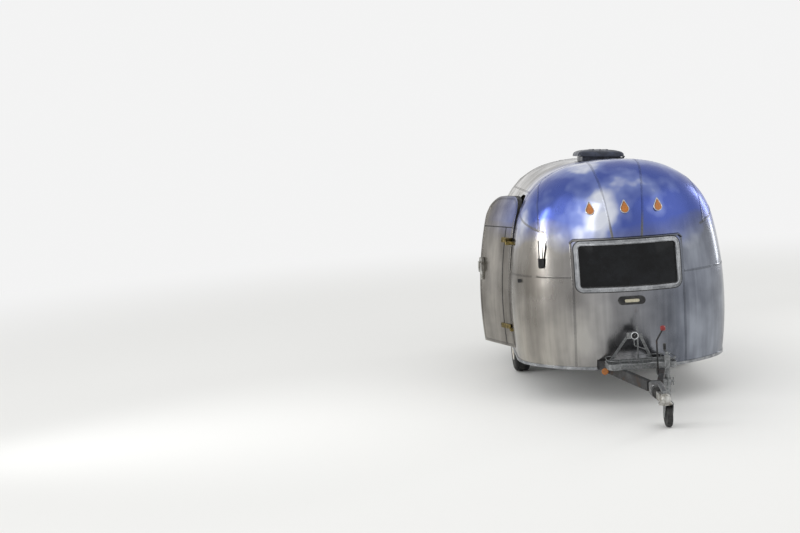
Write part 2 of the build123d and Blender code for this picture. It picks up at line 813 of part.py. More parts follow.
# Gas regulator on the frame: body, dial and outlet
regulator_x = -24.0
regulator_height = 755.0
with BuildPart() as regulator:
    with BuildSketch(end_plane(frame_y - 44.0 - front_y, regulator_height, regulator_x - 22.0)):
        RectangleRounded(96.0, 58.0, 14.0)
    extrude(amount=-42.0)
    with BuildSketch(end_plane(frame_y - 54.0 - front_y, regulator_height, regulator_x)):
        Circle(38.0)
    extrude(amount=-52.0)
    with BuildSketch(end_plane(frame_y - 54.0 - front_y, regulator_height, regulator_x)):
        Circle(27.0)
    extrude(amount=-14.0, mode=Mode.SUBTRACT)
    add(hold_down.part, mode=Mode.SUBTRACT)
save(regulator.part, "regulator")

# Bent metal pigtail from the regulator down to the foot bar, with a nut at each end
pigtail_forward = 16.0
pigtail_points = [
    # across, height
    (-24.0, 716.0), (-24.0, 655.0), (112.0, 600.0), (112.0, 542.0), (48.0, 526.0), (48.0, 492.0),
]
pigtail_nuts = [
    # across, height of the nut's underside
    (-24.0, 702.0),
    (48.0, 488.0),
]
with BuildPart() as gas_pigtail:
    with BuildLine(end_plane(frame_y - pigtail_forward - front_y, ball_height)) as pigtail_path:
        FilletPolyline(*[(x, above(height)) for x, height in pigtail_points], radius=16.0)
    with BuildSketch(Plane(origin=pigtail_path.line @ 0, z_dir=pigtail_path.line % 0)):
        Circle(5.0)
    sweep()
    for x, height in pigtail_nuts:
        with BuildSketch(Plane(origin=(x, frame_y - pigtail_forward, above(height)))):
            RegularPolygon(10.0, 6)
        extrude(amount=16.0)
    add(regulator.part, mode=Mode.SUBTRACT)
    add(hold_down.part, mode=Mode.SUBTRACT)
save(gas_pigtail.part, "gas_pigtail")

# Jockey wheel: clamp and outer tube on the drawbar
jockey_x = drawbar_x(jockey_y) + 62.0
jockey_stem = Plane(origin=(jockey_x, jockey_y, above(0.0)))
jockey_top = 670.0
with BuildPart() as jockey_clamp:
    with BuildSketch(jockey_stem.offset(400.0)):
        Circle(jockey_outer_radius + 8.0)
        with Locations((-28.0, 0)):
            Rectangle(44.0, 56.0)
    extrude(amount=60.0)
    with BuildSketch(jockey_stem.offset(330.0)):
        Circle(jockey_outer_radius)
    extrude(amount=jockey_top - 330.0)
    with BuildSketch(jockey_stem.offset(330.0)):
        Circle(jockey_inner_radius + 0.5)
    extrude(amount=jockey_top - 340.0, mode=Mode.SUBTRACT)
    add(drawbar.part, mode=Mode.SUBTRACT)
save(jockey_clamp.part, "jockey_clamp")

with BuildPart() as jockey_crank:
    with BuildSketch(jockey_stem.offset(jockey_top)):
        Circle(12.0)
    extrude(amount=24.0)
    with BuildSketch(jockey_stem.offset(jockey_top + 24.0)):
        with Locations((0, 40.0)):
            SlotOverall(120.0, 24.0, rotation=90)
    extrude(amount=8.0)
    with BuildSketch(Plane(origin=(jockey_x, jockey_y + 88.0, above(jockey_top + 32.0)))):
        Circle(11.0)
    extrude(amount=60.0)
save(jockey_crank.part, "jockey_crank")

# Sliding inner tube, and the castor fork that turns under it
fork_top = 2 * jockey_wheel_radius + 24.0
with BuildPart() as jockey_leg:
    with BuildSketch(jockey_stem.offset(fork_top + 6.0)):
        Circle(jockey_inner_radius)
    extrude(amount=280.0)
save(jockey_leg.part, "jockey_leg")

fork_half = 38.0
with BuildPart() as jockey_fork:
    with BuildSketch(jockey_stem.offset(fork_top - 8.0)):
        with Locations((0, jockey_trail / 2)):
            Rectangle(2 * fork_half, 76.0 + jockey_trail)
    extrude(amount=8.0)
    with BuildSketch(jockey_stem.offset(fork_top)):
        Circle(18.0)
    extrude(amount=5.5)
    for side in [-1, 1]:
        with BuildSketch(Plane(origin=(jockey_x + side * (fork_half - 3.0), jockey_y, above(0.0)),
                               x_dir=(0, 1, 0), z_dir=(1, 0, 0))):
            with BuildLine():
                Polyline(
                    (-38.0, fork_top - 8.0),
                    (38.0 + jockey_trail, fork_top - 8.0),
                    (jockey_trail + 22.0, jockey_wheel_radius - 16.0),
                    (jockey_trail - 22.0, jockey_wheel_radius - 16.0),
                    close=True,
                )
            make_face()
        extrude(amount=3.0, both=True)
    with BuildSketch(Plane(origin=(jockey_x - fork_half, jockey_y + jockey_trail, above(jockey_wheel_radius)),
                           x_dir=(0, 1, 0), z_dir=(1, 0, 0))):
        Circle(8.0)
    extrude(amount=2 * fork_half)
save(jockey_fork.part, "jockey_fork")

jockey_hub = Plane(
    origin=(jockey_x, jockey_y + jockey_trail, above(jockey_wheel_radius)), x_dir=(0, 1, 0), z_dir=(1, 0, 0)
)
with BuildPart() as jockey_wheel:
    with BuildSketch(jockey_hub):
        Circle(jockey_wheel_radius)
    extrude(amount=25.0, both=True)
    chamfer(jockey_wheel.edges().filter_by(GeomType.CIRCLE), 9.0)
    with BuildSketch(jockey_hub):
        Circle(8.4)
    extrude(amount=30.0, both=True, mode=Mode.SUBTRACT)
save(jockey_wheel.part, "jockey_wheel")

# Axle: tube, trailing arms, brackets to the rails, and spindles
axle_y = front_y + axle_distance
arm_length = 150.0
tube_height = 325.0
arm_x = wheel_track / 2 - 170.0
with BuildPart() as axle:
    with BuildSketch(Plane(origin=(15.0 - arm_x, axle_y - arm_length, above(tube_height)),
                           x_dir=(0, 1, 0), z_dir=(1, 0, 0))):
        RectangleRounded(70.0, 70.0, 10.0)
    extrude(amount=2 * arm_x - 30.0)
    for side in [-1, 1]:
        with BuildSketch(Plane(origin=(side * arm_x, axle_y, above(0.0)),
                               x_dir=(0, 1, 0), z_dir=(1, 0, 0))):
            with Locations((-arm_length / 2, (tube_height + wheel_centre_height) / 2)):
                SlotOverall(arm_length + 80.0, 70.0)
        extrude(amount=15.0, both=True)
        with BuildSketch(Plane(origin=(side * (arm_x + 15.0), axle_y, above(wheel_centre_height)),
                               x_dir=(0, 1, 0), z_dir=(side, 0, 0))):
            Circle(20.0)
        extrude(amount=165.0)
        with BuildSketch(Plane(origin=(side * rail_spacing / 2, axle_y - arm_length, above(tube_height + 34.0)))):
            Rectangle(60.0, 120.0)
        extrude(amount=rail_low - tube_height - 34.0)
save(axle.part, "axle")

# Wheels, as profiles of distance outward from the wheel's middle and radius
rim_profile = [
    # hub and cap, disc face, rim's inside and outer lip
    (-135.0, 20.4), (25.0, 20.4), (25.0, 0.0), (40.0, 0.0), (40.0, 42.0), (22.0, 80.0),
    (22.0, 125.0), (6.0, 160.0), (84.0, 164.0), (90.0, 200.0), (84.0, 200.0),
    # bead seats and the well between them
    (78.0, 188.0), (28.0, 168.0), (-28.0, 168.0), (-78.0, 188.0),
    # inner lip, back of the disc and the brake drum
    (-84.0, 200.0), (-90.0, 200.0), (-84.0, 164.0), (-8.0, 160.0), (-10.0, 132.0),
    (-85.0, 130.0), (-85.0, 60.0), (-135.0, 60.0),
]
tyre_profile = [
    # bead, sidewall, shoulder and tread of the outer half
    (70.0, 191.0), (80.0, 194.0), (95.0, 250.0), (88.0, 298.0), (64.0, 326.0), (0.0, tyre_radius),
    # and of the inner half
    (-64.0, 326.0), (-88.0, 298.0), (-95.0, 250.0), (-80.0, 194.0), (-70.0, 191.0),
]
for name, side in [("kerb", -1), ("street", 1)]:
    wheel_plane = Plane(
        origin=(side * wheel_track / 2, axle_y, above(wheel_centre_height)),
        x_dir=(side, 0, 0),
        z_dir=(0, -side, 0),
    )
    wheel_axis = Axis((0, axle_y, above(wheel_centre_height)), (1, 0, 0))
    with BuildPart() as rim:
        with BuildSketch(wheel_plane):
            with BuildLine():
                Polyline(*rim_profile, close=True)
            make_face()
        revolve(axis=wheel_axis)
    save(rim.part, f"{name}_rim")
    with BuildPart() as tyre:
        with BuildSketch(wheel_plane):
            with BuildLine():
                Polyline(*tyre_profile, close=True)
            make_face()
        revolve(axis=wheel_axis)
    save(tyre.part, f"{name}_tyre")

# Rear bumper on two arms
with BuildPart() as rear_bumper:
    with BuildSketch(Plane(origin=(0, front_y + body_length + 110.0, above(400.0)))):
        RectangleRounded(1700.0, 50.0, 20.0)
    extrude(amount=90.0)
    for side in [-1, 1]:
        with BuildSketch(Plane(origin=(side * rail_spacing / 2, 0, above(rail_low + 10.0)))):
            with Locations((0, (2 * front_y + 3900.0 + body_length + 85.0) / 2)):
                Rectangle(rail_width, body_length + 85.0 - 3900.0)
        extrude(amount=rail_tall - 10.0)
save(rear_bumper.part, "rear_bumper")

# Roof vent: a framed opening, and a lid that stands a little open
vent_y = front_y + vent_distance
vent_base_half = 200.0
collar_inside = vent_opening - 8.0
vent_base_top = 2454.0
lid_half = 250.0
lid_low = 2426.0
lid_tall = 78.0
lid_ajar = 4.0
lid_pin_x = lid_half + 14.0
lid_axis = Axis((lid_pin_x, vent_y, above(lid_low)), (0, 1, 0))
lid_hinges = [-120.0, 120.0]
lid_barrel_radius = 9.0
lid_barrel_length = 40.0
lid_pin_radius = 3.0

with BuildPart() as vent_base:
    with BuildSketch(Plane(origin=(0, vent_y, above(2385.0)))):
        Rectangle(2 * vent_base_half, 2 * vent_base_half)
        Rectangle(vent_opening, vent_opening, mode=Mode.SUBTRACT)
    extrude(amount=vent_base_top - 2385.0)
    for along in lid_hinges:
        with BuildSketch(Plane(origin=(0, vent_y + along, above(lid_low - 20.0)))):
            with Locations(((vent_base_half + lid_pin_x) / 2, 0)):
                Rectangle(lid_pin_x - vent_base_half, lid_barrel_length)
        extrude(amount=14.0)
    add(outer_hull, mode=Mode.SUBTRACT)
    with BuildSketch(Plane(origin=(0, vent_y, above(2330.0)))):
        Rectangle(vent_opening, vent_opening)
        Rectangle(collar_inside, collar_inside, mode=Mode.SUBTRACT)
    extrude(amount=vent_base_top - 2330.0)


def across_plane(along, x, height):
    """A plane that faces +Y, beside the roof vent, with its sketch axes along -X and +Z."""
    return Plane(origin=(x, vent_y + along, above(height)), x_dir=(-1, 0, 0), z_dir=(0, 1, 0))


with BuildPart() as vent_frame:
    add(vent_base.part)
    for along in lid_hinges:
        with BuildSketch(across_plane(along - lid_barrel_length / 2, lid_pin_x, lid_low)):
            Circle(lid_barrel_radius)
        extrude(amount=lid_barrel_length)
        with BuildSketch(across_plane(along - lid_barrel_length / 2, lid_pin_x, lid_low)):
            Circle(lid_pin_radius + 0.4)
        extrude(amount=lid_barrel_length, mode=Mode.SUBTRACT)
save(vent_frame.part, "vent_base")

with BuildPart() as vent_lid:
    with BuildSketch(Plane(origin=(0, vent_y, above(lid_low)))):
        RectangleRounded(2 * lid_half, 2 * lid_half, 40.0)
    extrude(amount=lid_tall, taper=12.0)
    fillet(vent_lid.faces().sort_by(Axis.Z)[-1].edges(), 18.0)
    with BuildSketch(Plane(origin=(0, vent_y, above(lid_low)))):
        RectangleRounded(2 * lid_half - 8.0, 2 * lid_half - 8.0, 36.0)
    extrude(amount=lid_tall - 14.0, taper=12.0, mode=Mode.SUBTRACT)
    for along in lid_hinges:
        ear = along + lid_barrel_length / 2 + 1.0
        with BuildSketch(across_plane(ear, lid_pin_x, lid_low)):
            Circle(lid_barrel_radius)
            with Locations((9.0, 4.5)):
                Rectangle(18.0, 9.0)
        extrude(amount=20.0)
        with BuildSketch(across_plane(ear - lid_barrel_length + 3.0, lid_pin_x, lid_low)):
            Circle(lid_pin_radius)
        extrude(amount=lid_barrel_length)
save(vent_lid.part.rotate(lid_axis, lid_ajar), "vent_lid")

# Reflector on the drawbar's kerb side
reflector_y = 1230.0
reflector_height = 415.0
with BuildPart() as reflector:
    with BuildSketch(end_plane(reflector_y - front_y, reflector_height, -drawbar_x(reflector_y) - 58.0)):
        Circle(32.0)
    extrude(amount=12.0)
    with BuildSketch(end_plane(reflector_y - front_y, reflector_height, -drawbar_x(reflector_y) - 40.0)):
        Rectangle(60.0, 30.0)
    extrude(amount=-4.0)
    add(drawbar.part, mode=Mode.SUBTRACT)
save(reflector.part, "reflector")

# Belly pan: a shallow tray that closes the underside round the chassis
pan_sheet = 3.0
pan_levels = [
    # height, inset from the shell's bottom outline
    (380.0, 12.0),
    (372.0, 40.0),
    (364.0, 110.0),
]
with BuildPart() as belly_pan:
    for height, inset in pan_levels:
        with BuildSketch(Plane.XY.offset(above(height))):
            with BuildLine():
                hull_outline(shell_bottom, inset)
            make_face()
    loft(ruled=True)
with BuildPart() as pan_hollow:
    for height, inset in pan_levels:
        with BuildSketch(Plane.XY.offset(above(height + (pan_sheet if height < 370.0 else 0.0)))):
            with BuildLine():
                hull_outline(shell_bottom, inset + pan_sheet)
            make_face()
    loft(ruled=True)
with BuildPart() as belly:
    add(belly_pan.part)
    add(pan_hollow.part, mode=Mode.SUBTRACT)
    with BuildSketch(Plane.XY.offset(above(360.0))):
        for side in [-1, 1]:
            with Locations((side * 1100.0, axle_y)):
                Rectangle(2 * (1100.0 - well_inner_half), 2 * well_half)
            with Locations((side * rail_spacing / 2, axle_y - arm_length)):
                Rectangle(66.0, 130.0)
    extrude(amount=200.0, mode=Mode.SUBTRACT)
save(belly.part, "belly_pan")
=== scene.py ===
import json
from math import asin, atan2, cos, hypot, pi, radians, sin, sqrt

import bmesh
import bpy
from mathutils import Matrix, Vector


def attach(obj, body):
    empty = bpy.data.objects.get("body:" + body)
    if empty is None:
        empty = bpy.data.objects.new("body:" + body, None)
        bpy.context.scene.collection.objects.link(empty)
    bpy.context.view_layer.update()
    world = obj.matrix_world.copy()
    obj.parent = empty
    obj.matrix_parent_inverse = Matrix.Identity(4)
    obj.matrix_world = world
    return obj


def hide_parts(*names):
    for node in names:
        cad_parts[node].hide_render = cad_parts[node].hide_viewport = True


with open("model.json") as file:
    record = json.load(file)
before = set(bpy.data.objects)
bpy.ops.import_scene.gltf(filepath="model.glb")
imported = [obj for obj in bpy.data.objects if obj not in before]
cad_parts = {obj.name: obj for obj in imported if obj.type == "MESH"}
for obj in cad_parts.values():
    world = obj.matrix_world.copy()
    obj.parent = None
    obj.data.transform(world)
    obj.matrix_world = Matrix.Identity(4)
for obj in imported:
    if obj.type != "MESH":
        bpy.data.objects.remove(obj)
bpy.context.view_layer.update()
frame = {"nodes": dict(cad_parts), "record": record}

print("frame loaded,", len(frame["nodes"]), "nodes")

# The camera stands where the photographer did. Lengths in metres, angles in degrees.
camera = {
    "place": (-1.902, -9.239, 2.237),
    "yaw": -1.689,      # turned from +Y towards +X
    "pitch": 5.938,     # looking down
    "roll": 3.69,
    "focalPixels": 1102.9,
    "imageWidth": 800,
    "sensor": 36.0,
    "clipEnd": 200.0,
}


def makeCamera(settings):
    data = bpy.data.cameras.new("photoCamera")
    data.sensor_width = settings["sensor"]
    data.lens = settings["focalPixels"] * settings["sensor"] / settings["imageWidth"]
    data.clip_end = settings["clipEnd"]
    cam = bpy.data.objects.new("photoCamera", data)
    bpy.context.scene.collection.objects.link(cam)
    yaw, pitch, roll = (radians(settings[k]) for k in ("yaw", "pitch", "roll"))
    ahead = Vector((sin(yaw) * cos(pitch), cos(yaw) * cos(pitch), -sin(pitch)))
    side = Vector((cos(yaw), -sin(yaw), 0.0))
    above = side.cross(ahead)
    right = cos(roll) * side - sin(roll) * above
    up = sin(roll) * side + cos(roll) * above
    turn = Matrix((right, up, -ahead)).transposed().to_4x4()
    cam.matrix_world = Matrix.Translation(settings["place"]) @ turn
    bpy.context.scene.camera = cam


makeCamera(camera)
print("camera placed")

# The shell's own form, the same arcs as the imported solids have.
# Heights in this dictionary are above the ground, which lies ballHeight under the origin.
shell = {
    "ballHeight": 0.400,
    "frontY": 1.380,
    "length": 4.000,
    "halfWidth": 1.100,
    "bottom": 0.380,
    "widest": 0.950,
    "roof": 2.420,
    "topLevel": 2.417,
    "wallRadius": 3.600,
    "shoulderRadius": 0.780,
    "crownRadius": 2.000,
    "endWallRadius": 3.000,
    "endShoulderRadius": 0.800,
    "bowRadius": 1.200,
    "cornerShares": (0.885, 0.3, 0.8),  # of the width, less as it widens, less of the inset
    "cornerLimits": (0.35, 0.92),
    "wall": 0.045,
    "levels": 64,       # rings from the skirt to the roof
    "fineLevels": 3000,
    "arcSteps": 16,     # faces along each arc of a ring
    "sideSteps": 20,
}


def arcMeeting(centreA, reachA, centreB, reachB):
    across, along = centreB[0] - centreA[0], centreB[1] - centreA[1]
    gap = hypot(across, along)
    foot = (reachA**2 - reachB**2 + gap**2) / (2 * gap)
    rise = sqrt(reachA**2 - foot**2)
    ux, uy = across / gap, along / gap
    return centreA[0] + ux * foot - uy * rise, centreA[1] + uy * foot + ux * rise


crownCentre = (0.0, shell["roof"] - shell["crownRadius"])
wallCentre = (shell["halfWidth"] - shell["wallRadius"], shell["widest"])
shoulderCentre = arcMeeting(
    wallCentre, shell["wallRadius"] - shell["shoulderRadius"],
    crownCentre, shell["crownRadius"] - shell["shoulderRadius"],
)
endShoulderHeight = shell["roof"] - shell["endShoulderRadius"]
endReach = shell["endWallRadius"] - shell["endShoulderRadius"]
endRise = endShoulderHeight - shell["widest"]
endShoulderBack = shell["endWallRadius"] - sqrt(endReach**2 - endRise**2)
midY = shell["frontY"] + shell["length"] / 2


def halfWidthAt(height, inset=0.0):
    shoulder = shell["shoulderRadius"] - inset
    crownFrom = shoulderCentre[1] + (shoulderCentre[1] - crownCentre[1]) * shoulder / (
        shell["crownRadius"] - shell["shoulderRadius"])
    wallTo = shoulderCentre[1] + (shoulderCentre[1] - wallCentre[1]) * shoulder / (
        shell["wallRadius"] - shell["shoulderRadius"])
    if height <= wallTo:
        radius = shell["wallRadius"] - inset
        return wallCentre[0] + sqrt(radius**2 - (height - shell["widest"])**2)
    if height <= crownFrom:
        return shoulderCentre[0] + sqrt(shoulder**2 - (height - shoulderCentre[1])**2)
    return sqrt((shell["crownRadius"] - inset)**2 - (height - crownCentre[1])**2)


def endInsetAt(height, inset=0.0):
    radius = shell["endWallRadius"]
    if height <= endShoulderHeight + endRise / endReach * (shell["endShoulderRadius"] - inset):
        return radius - sqrt((radius - inset)**2 - (height - shell["widest"])**2)
    rise = height - endShoulderHeight
    return endShoulderBack - sqrt((shell["endShoulderRadius"] - inset)**2 - rise**2)


def outlineSizes(height, inset=0.0):
    # half width, front, corner radius and the corner's centre of the ring at this height
    wide = halfWidthAt(height, inset)
    front = shell["frontY"] + endInsetAt(height, inset)
    share, loss, insetLoss = shell["cornerShares"]
    low, high = shell["cornerLimits"]
    corner = wide * (share - loss * wide / shell["halfWidth"]) - inset * insetLoss
    corner = min(max(corner, low * wide), high * wide)
    cornerX = wide - corner
    bow = shell["bowRadius"]
    cornerY = front + bow - sqrt((bow - corner)**2 - cornerX**2)
    return wide, front, corner, cornerX, cornerY


def planDistance(x, y, height, inset=0.0):
    # how far a point lies outside the ring at this height, negative inside
    wide, front, corner, cornerX, cornerY = outlineSizes(height, inset)
    x, y = abs(x), min(y, 2 * midY - y)
    if y >= cornerY:
        return x - wide
    centreY = front + shell["bowRadius"]
    if x * (centreY - cornerY) > cornerX * (centreY - y):
        return hypot(x - cornerX, y - cornerY) - corner
    return hypot(x, y - centreY) - shell["bowRadius"]


def skinNormal(x, y, height, inset=0.0):
    # from the slope of planDistance, measured over 1 mm in plan and 4 mm in height
    top = shell["topLevel"] - inset
    if height > top - 0.0006:
        return Vector((0.0, 0.0, 1.0))
    low, high = max(height - 0.002, shell["bottom"]), min(height + 0.002, top - 0.0002)
    step = 0.0005
    spans = (((x - step, y, height), (x + step, y, height), 2 * step),
             ((x, y - step, height), (x, y + step, height), 2 * step),
             ((x, y, low), (x, y, high), high - low))
    return Vector([(planDistance(*after, inset) - planDistance(*before, inset)) / run
                   for before, after, run in spans]).normalized()


def skinY(x, height, rear=False, inset=0.0):
    # Y of the skin at an offset from the middle, on the front or the rear
    wide, front, corner, cornerX, cornerY = outlineSizes(height, inset)
    bow = shell["bowRadius"]
    if abs(x) > cornerX * bow / (bow - corner):
        y = cornerY - sqrt(max(corner**2 - (abs(x) - cornerX)**2, 0.0))
    else:
        y = front + bow - sqrt(bow**2 - x**2)
    return 2 * midY - y if rear else y


def skinX(y, height):
    wide, front, corner, cornerX, cornerY = outlineSizes(height)
    back = cornerY - min(y, 2 * midY - y)
    return wide if back < 0 else cornerX + sqrt(max(corner**2 - back**2, 0.0))


def evenSteps(first, last, count):
    # count + 1 values from first to last
    return [first + (last - first) * i / count for i in range(count + 1)]


def ringPoints(height, inset):
    # one quarter is drawn, from the middle of the bow to the middle of the side, then mirrored
    wide, front, corner, cornerX, cornerY = outlineSizes(height, inset)
    bow = shell["bowRadius"]
    lean = asin(cornerX / (bow - corner))
    steps = shell["arcSteps"]
    quarter = [(bow * sin(a), front + bow - bow * cos(a)) for a in evenSteps(0.0, lean, steps)[:-1]]
    quarter += [(cornerX + corner * sin(a), cornerY - corner * cos(a))
                for a in evenSteps(lean, pi / 2, steps)[:-1]]
    quarter += [(wide, y) for y in evenSteps(cornerY, midY, shell["sideSteps"])]
    half = quarter + [(x, 2 * midY - y) for x, y in reversed(quarter[:-1])]
    return half + [(-x, y) for x, y in reversed(half[1:-1])]


def levelHeights(inset):
    # evenly spaced along the profile, so that the faces stay even over the shoulder
    fine = evenSteps(shell["bottom"], shell["topLevel"] - inset, shell["fineLevels"])
    run = [0.0]
    for a, b in zip(fine, fine[1:]):
        wall = hypot(halfWidthAt(b, inset) - halfWidthAt(a, inset), b - a)
        end = hypot(endInsetAt(b, inset) - endInsetAt(a, inset), b - a)
        run.append(run[-1] + (wall + end) / 2)
    levels, at = [], 0
    for goal in evenSteps(0.0, run[-1], shell["levels"] - 1):
        while run[at] < goal - 1e-9 and at < shell["fineLevels"]:
            at += 1
        levels.append(fine[at])
    return levels


def meshFrom(name, bm):
    bmesh.ops.recalc_face_normals(bm, faces=bm.faces)
    mesh = bpy.data.meshes.new(name)
    bm.to_mesh(mesh)
    bm.free()
    return mesh


def toObject(name, mesh):
    obj = bpy.data.objects.new(name, mesh)
    bpy.context.scene.collection.objects.link(obj)
    return obj


def addPiece(name, mesh, body, slot, *replaced):
    piece = toObject(name, mesh)
    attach(piece, body)
    if replaced:
        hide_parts(*replaced)


def smoothPiece(name, source, body, look, slot, sharp, *replaced):
    # from a bmesh or a mesh; edges that turn by more than sharp degrees stay sharp
    mesh = meshFrom(name, source) if isinstance(source, bmesh.types.BMesh) else source
    mesh.materials.append(looks[look])
    mesh.shade_smooth()
    mesh.set_sharp_from_angle(angle=radians(sharp))
    addPiece(name, mesh, body, slot, *replaced)


def joinRings(bm, low, high):
    # faces between two rings of corners; where a ring is one point they are triangles
    for k in range(len(low)):
        n = (k + 1) % len(low)
        corners = list(dict.fromkeys([low[k], low[n], high[n], high[k]]))
        if len(corners) > 2:
            bm.faces.new(corners)


def shellBmesh():
    # the whole wall as one watertight body, open underneath
    bm = bmesh.new()
    skirts = []
    for inset in (0.0, shell["wall"]):
        rings = [[bm.verts.new((x, y, height - shell["ballHeight"]))
                  for x, y in ringPoints(height, inset)] for height in levelHeights(inset)]
        for low, high in zip(rings, rings[1:]):
            joinRings(bm, low, high)
        bm.faces.new(rings[-1])
        skirts.append(rings[0])
    joinRings(bm, *skirts)
    return bm


def prism(bm, outline, toWorld):
    # a straight body from an outline in the plane (u, v), from depth 0 to depth 1
    low, high = ([bm.verts.new(toWorld(u, v, depth)) for u, v in outline] for depth in (0, 1))
    bm.faces.new(low[::-1])
    bm.faces.new(high)
    joinRings(bm, low, high)


def roundedOutline(width, tall, radii, steps=8):
    # one radius, or those of the corners: right top, left top, left bottom, right bottom
    points = []
    for i, (sx, sy) in enumerate([(1, 1), (-1, 1), (-1, -1), (1, -1)]):
        radius = radii[i] if isinstance(radii, tuple) else radii
        cx, cy = sx * (width / 2 - radius), sy * (tall / 2 - radius)
        if radius <= 0:
            points.append((cx, cy))
        else:
            points += [(cx + radius * cos(a), cy + radius * sin(a))
                       for a in evenSteps(pi / 2 * i, pi / 2 * (i + 1), steps)]
    return points


# Openings in the shell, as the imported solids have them
openings = {
    "windowCorner": 0.045,
    "endWindow": (1.404, 0.975, 0.437),                     # height, width, tall
    "sideWindows": [(-1, 2.450), (1, 1.350), (1, 2.450)],   # side, distance behind the front
    "sideWindow": (1.430, 0.560, 0.400),
    "arch": (2.160, 0.400, 0.770, 0.200),                   # distance, half width, top, corner
    "vent": (1.700, 0.356),
    "doorFront": 1.010,
    "doorWidth": 0.650,
    "doorBottom": 0.480,
    "doorTop": 2.080,
    "doorCorner": 0.210,
    "doorGap": 0.006,
    "hingeX": -1.114,
    "doorAjar": 26.0,
    "endCut": (-0.2, 0.4),              # depths of the cutters, from the ends or the centre line
    "sideCut": (0.7, 1.3),
    "archCut": (0.8, 1.3),
    "ventCut": (1.8, 2.2),
    "hingeCut": (0.0, 1.7),
    "notchCut": (-0.040, 0.086),
    "railLine": (0.045, 0.500, 0.410, 1.970),   # first offset, what it gains, first Y, length
    "railNotch": (0.410, 2.398, 0.031),         # from, to, half width
    "armNotch": (0.569, 0.631, 0.3),            # between two offsets, reach
    "cutSteps": 96,
}


def drawbarX(y):
    # distance of a drawbar rail's middle from the centre line
    near, opening, front, length = openings["railLine"]
    return near + (y - front) * opening / length


def doorOutline(gap):
    width = openings["doorWidth"] + 2 * gap
    tall = openings["doorTop"] - openings["doorBottom"] + 2 * gap
    corner = openings["doorCorner"] + gap
    middleY = shell["frontY"] + openings["doorFront"] + openings["doorWidth"] / 2
    middleZ = (openings["doorTop"] + openings["doorBottom"]) / 2 - shell["ballHeight"]
    outline = roundedOutline(width, tall, (corner, corner, 0, 0), 14)
    return [(u + middleY, v + middleZ) for u, v in outline]


def doorTurn():
    # from shut to ajar, about the hinge
    hingeY = shell["frontY"] + openings["doorFront"]
    return (Matrix.Translation((openings["hingeX"], hingeY, 0))
            @ Matrix.Rotation(radians(openings["doorAjar"]), 4, "Z")
            @ Matrix.Translation((-openings["hingeX"], -hingeY, 0)))


def cutterBmesh():
    bm = bmesh.new()
    form, ground, frontY = openings, shell["ballHeight"], shell["frontY"]
    rearY = frontY + shell["length"]
    height, width, tall = form["endWindow"]
    outline = roundedOutline(width, tall, form["windowCorner"])
    outside, inside = form["endCut"]
    for ends in ((frontY + outside, frontY + inside), (rearY - inside, rearY - outside)):
        prism(bm, outline, lambda u, v, d: (u, ends[d], v + height - ground))
    height, width, tall = form["sideWindow"]
    outline = roundedOutline(width, tall, form["windowCorner"])
    for side, distance in form["sideWindows"]:
        prism(bm, outline, lambda u, v, d: (
            side * form["sideCut"][d], u + frontY + distance, v + height - ground))
    distance, half, top, corner = form["arch"]
    for side in (-1, 1):
        prism(bm, [(u + frontY + distance, v + top / 2 - ground)
                   for u, v in roundedOutline(2 * half, top, (corner, corner, 0, 0), 12)],
              lambda u, v, d: (side * form["archCut"][d], u, v))
    prism(bm, doorOutline(form["doorGap"]), lambda u, v, d: (-form["sideCut"][1 - d], u, v))
    distance, wide = form["vent"]
    prism(bm, [(u, v + frontY + distance) for u, v in roundedOutline(wide, wide, 0)],
          lambda u, v, d: (u, v, form["ventCut"][d]))
    begin, end, half = form["railNotch"]
    near, far = drawbarX(begin), drawbarX(end)
    low, high, reach = form["armNotch"]
    for side in (-1, 1):      # notches for the drawbar's rails and the bumper's arms
        rail = [(near - half, begin), (near + half, begin), (far + half, end), (far - half, end)]
        arm = [(x, rearY + way * reach) for x, way in ((low, -1), (high, -1), (high, 1), (low, 1))]
        for outline in (rail, arm):
            prism(bm, outline, lambda u, v, d: (side * u, v, form["notchCut"][d]))
    return bm


def booleaned(name, piece, cutter, operation):
    # the result's mesh; both bmeshes are used up
    body, tool = (toObject(label, meshFrom(label, bm))
                  for label, bm in ((name, piece), (name + "Cutter", cutter)))
    change = body.modifiers.new("cut", "BOOLEAN")
    change.operation = operation
    change.solver = "EXACT"
    change.object = tool
    bpy.context.view_layer.update()
    depsgraph = bpy.context.evaluated_depsgraph_get()
    result = bpy.data.meshes.new_from_object(body.evaluated_get(depsgraph))
    for obj in (body, tool):
        mesh = obj.data
        bpy.data.objects.remove(obj)
        bpy.data.meshes.remove(mesh)
    return result


def dressSkin(mesh):
    # materials by side, and the exact normals of the arcs, so that reflections run clean
    mesh.materials.clear()
    for look in ("skin", "lining", "cutEdge"):
        mesh.materials.append(looks[look])
    ground, wall, top = shell["ballHeight"], shell["wall"], shell["topLevel"]
    near, nearTop = 0.0012, 0.0005      # metres within which a corner counts as on the skin
    places = [v.co.copy() for v in mesh.vertices]
    outward, inward = ([planDistance(x, y, min(z + ground, top - inset - 1e-4), inset)
                        for x, y, z in places] for inset in (0.0, wall))
    mesh.shade_smooth()
    normals = [None] * len(mesh.loops)
    for polygon in mesh.polygons:
        corners = [(places[i].z + ground, i) for i in polygon.vertices]
        onOuter = all(abs(outward[i]) < near or z > top - nearTop for z, i in corners)
        onInner = all(abs(inward[i]) < near or abs(z - top + wall) < nearTop for z, i in corners)
        polygon.material_index = 0 if onOuter else 1 if onInner else 2
        for loop in polygon.loop_indices:
            x, y, z = places[mesh.loops[loop].vertex_index]
            if onOuter:
                normals[loop] = skinNormal(x, y, z + ground)
            elif onInner:
                normals[loop] = -skinNormal(x, y, z + ground, wall)
            else:
                normals[loop] = polygon.normal.copy()
    mesh.normals_split_custom_set(normals)


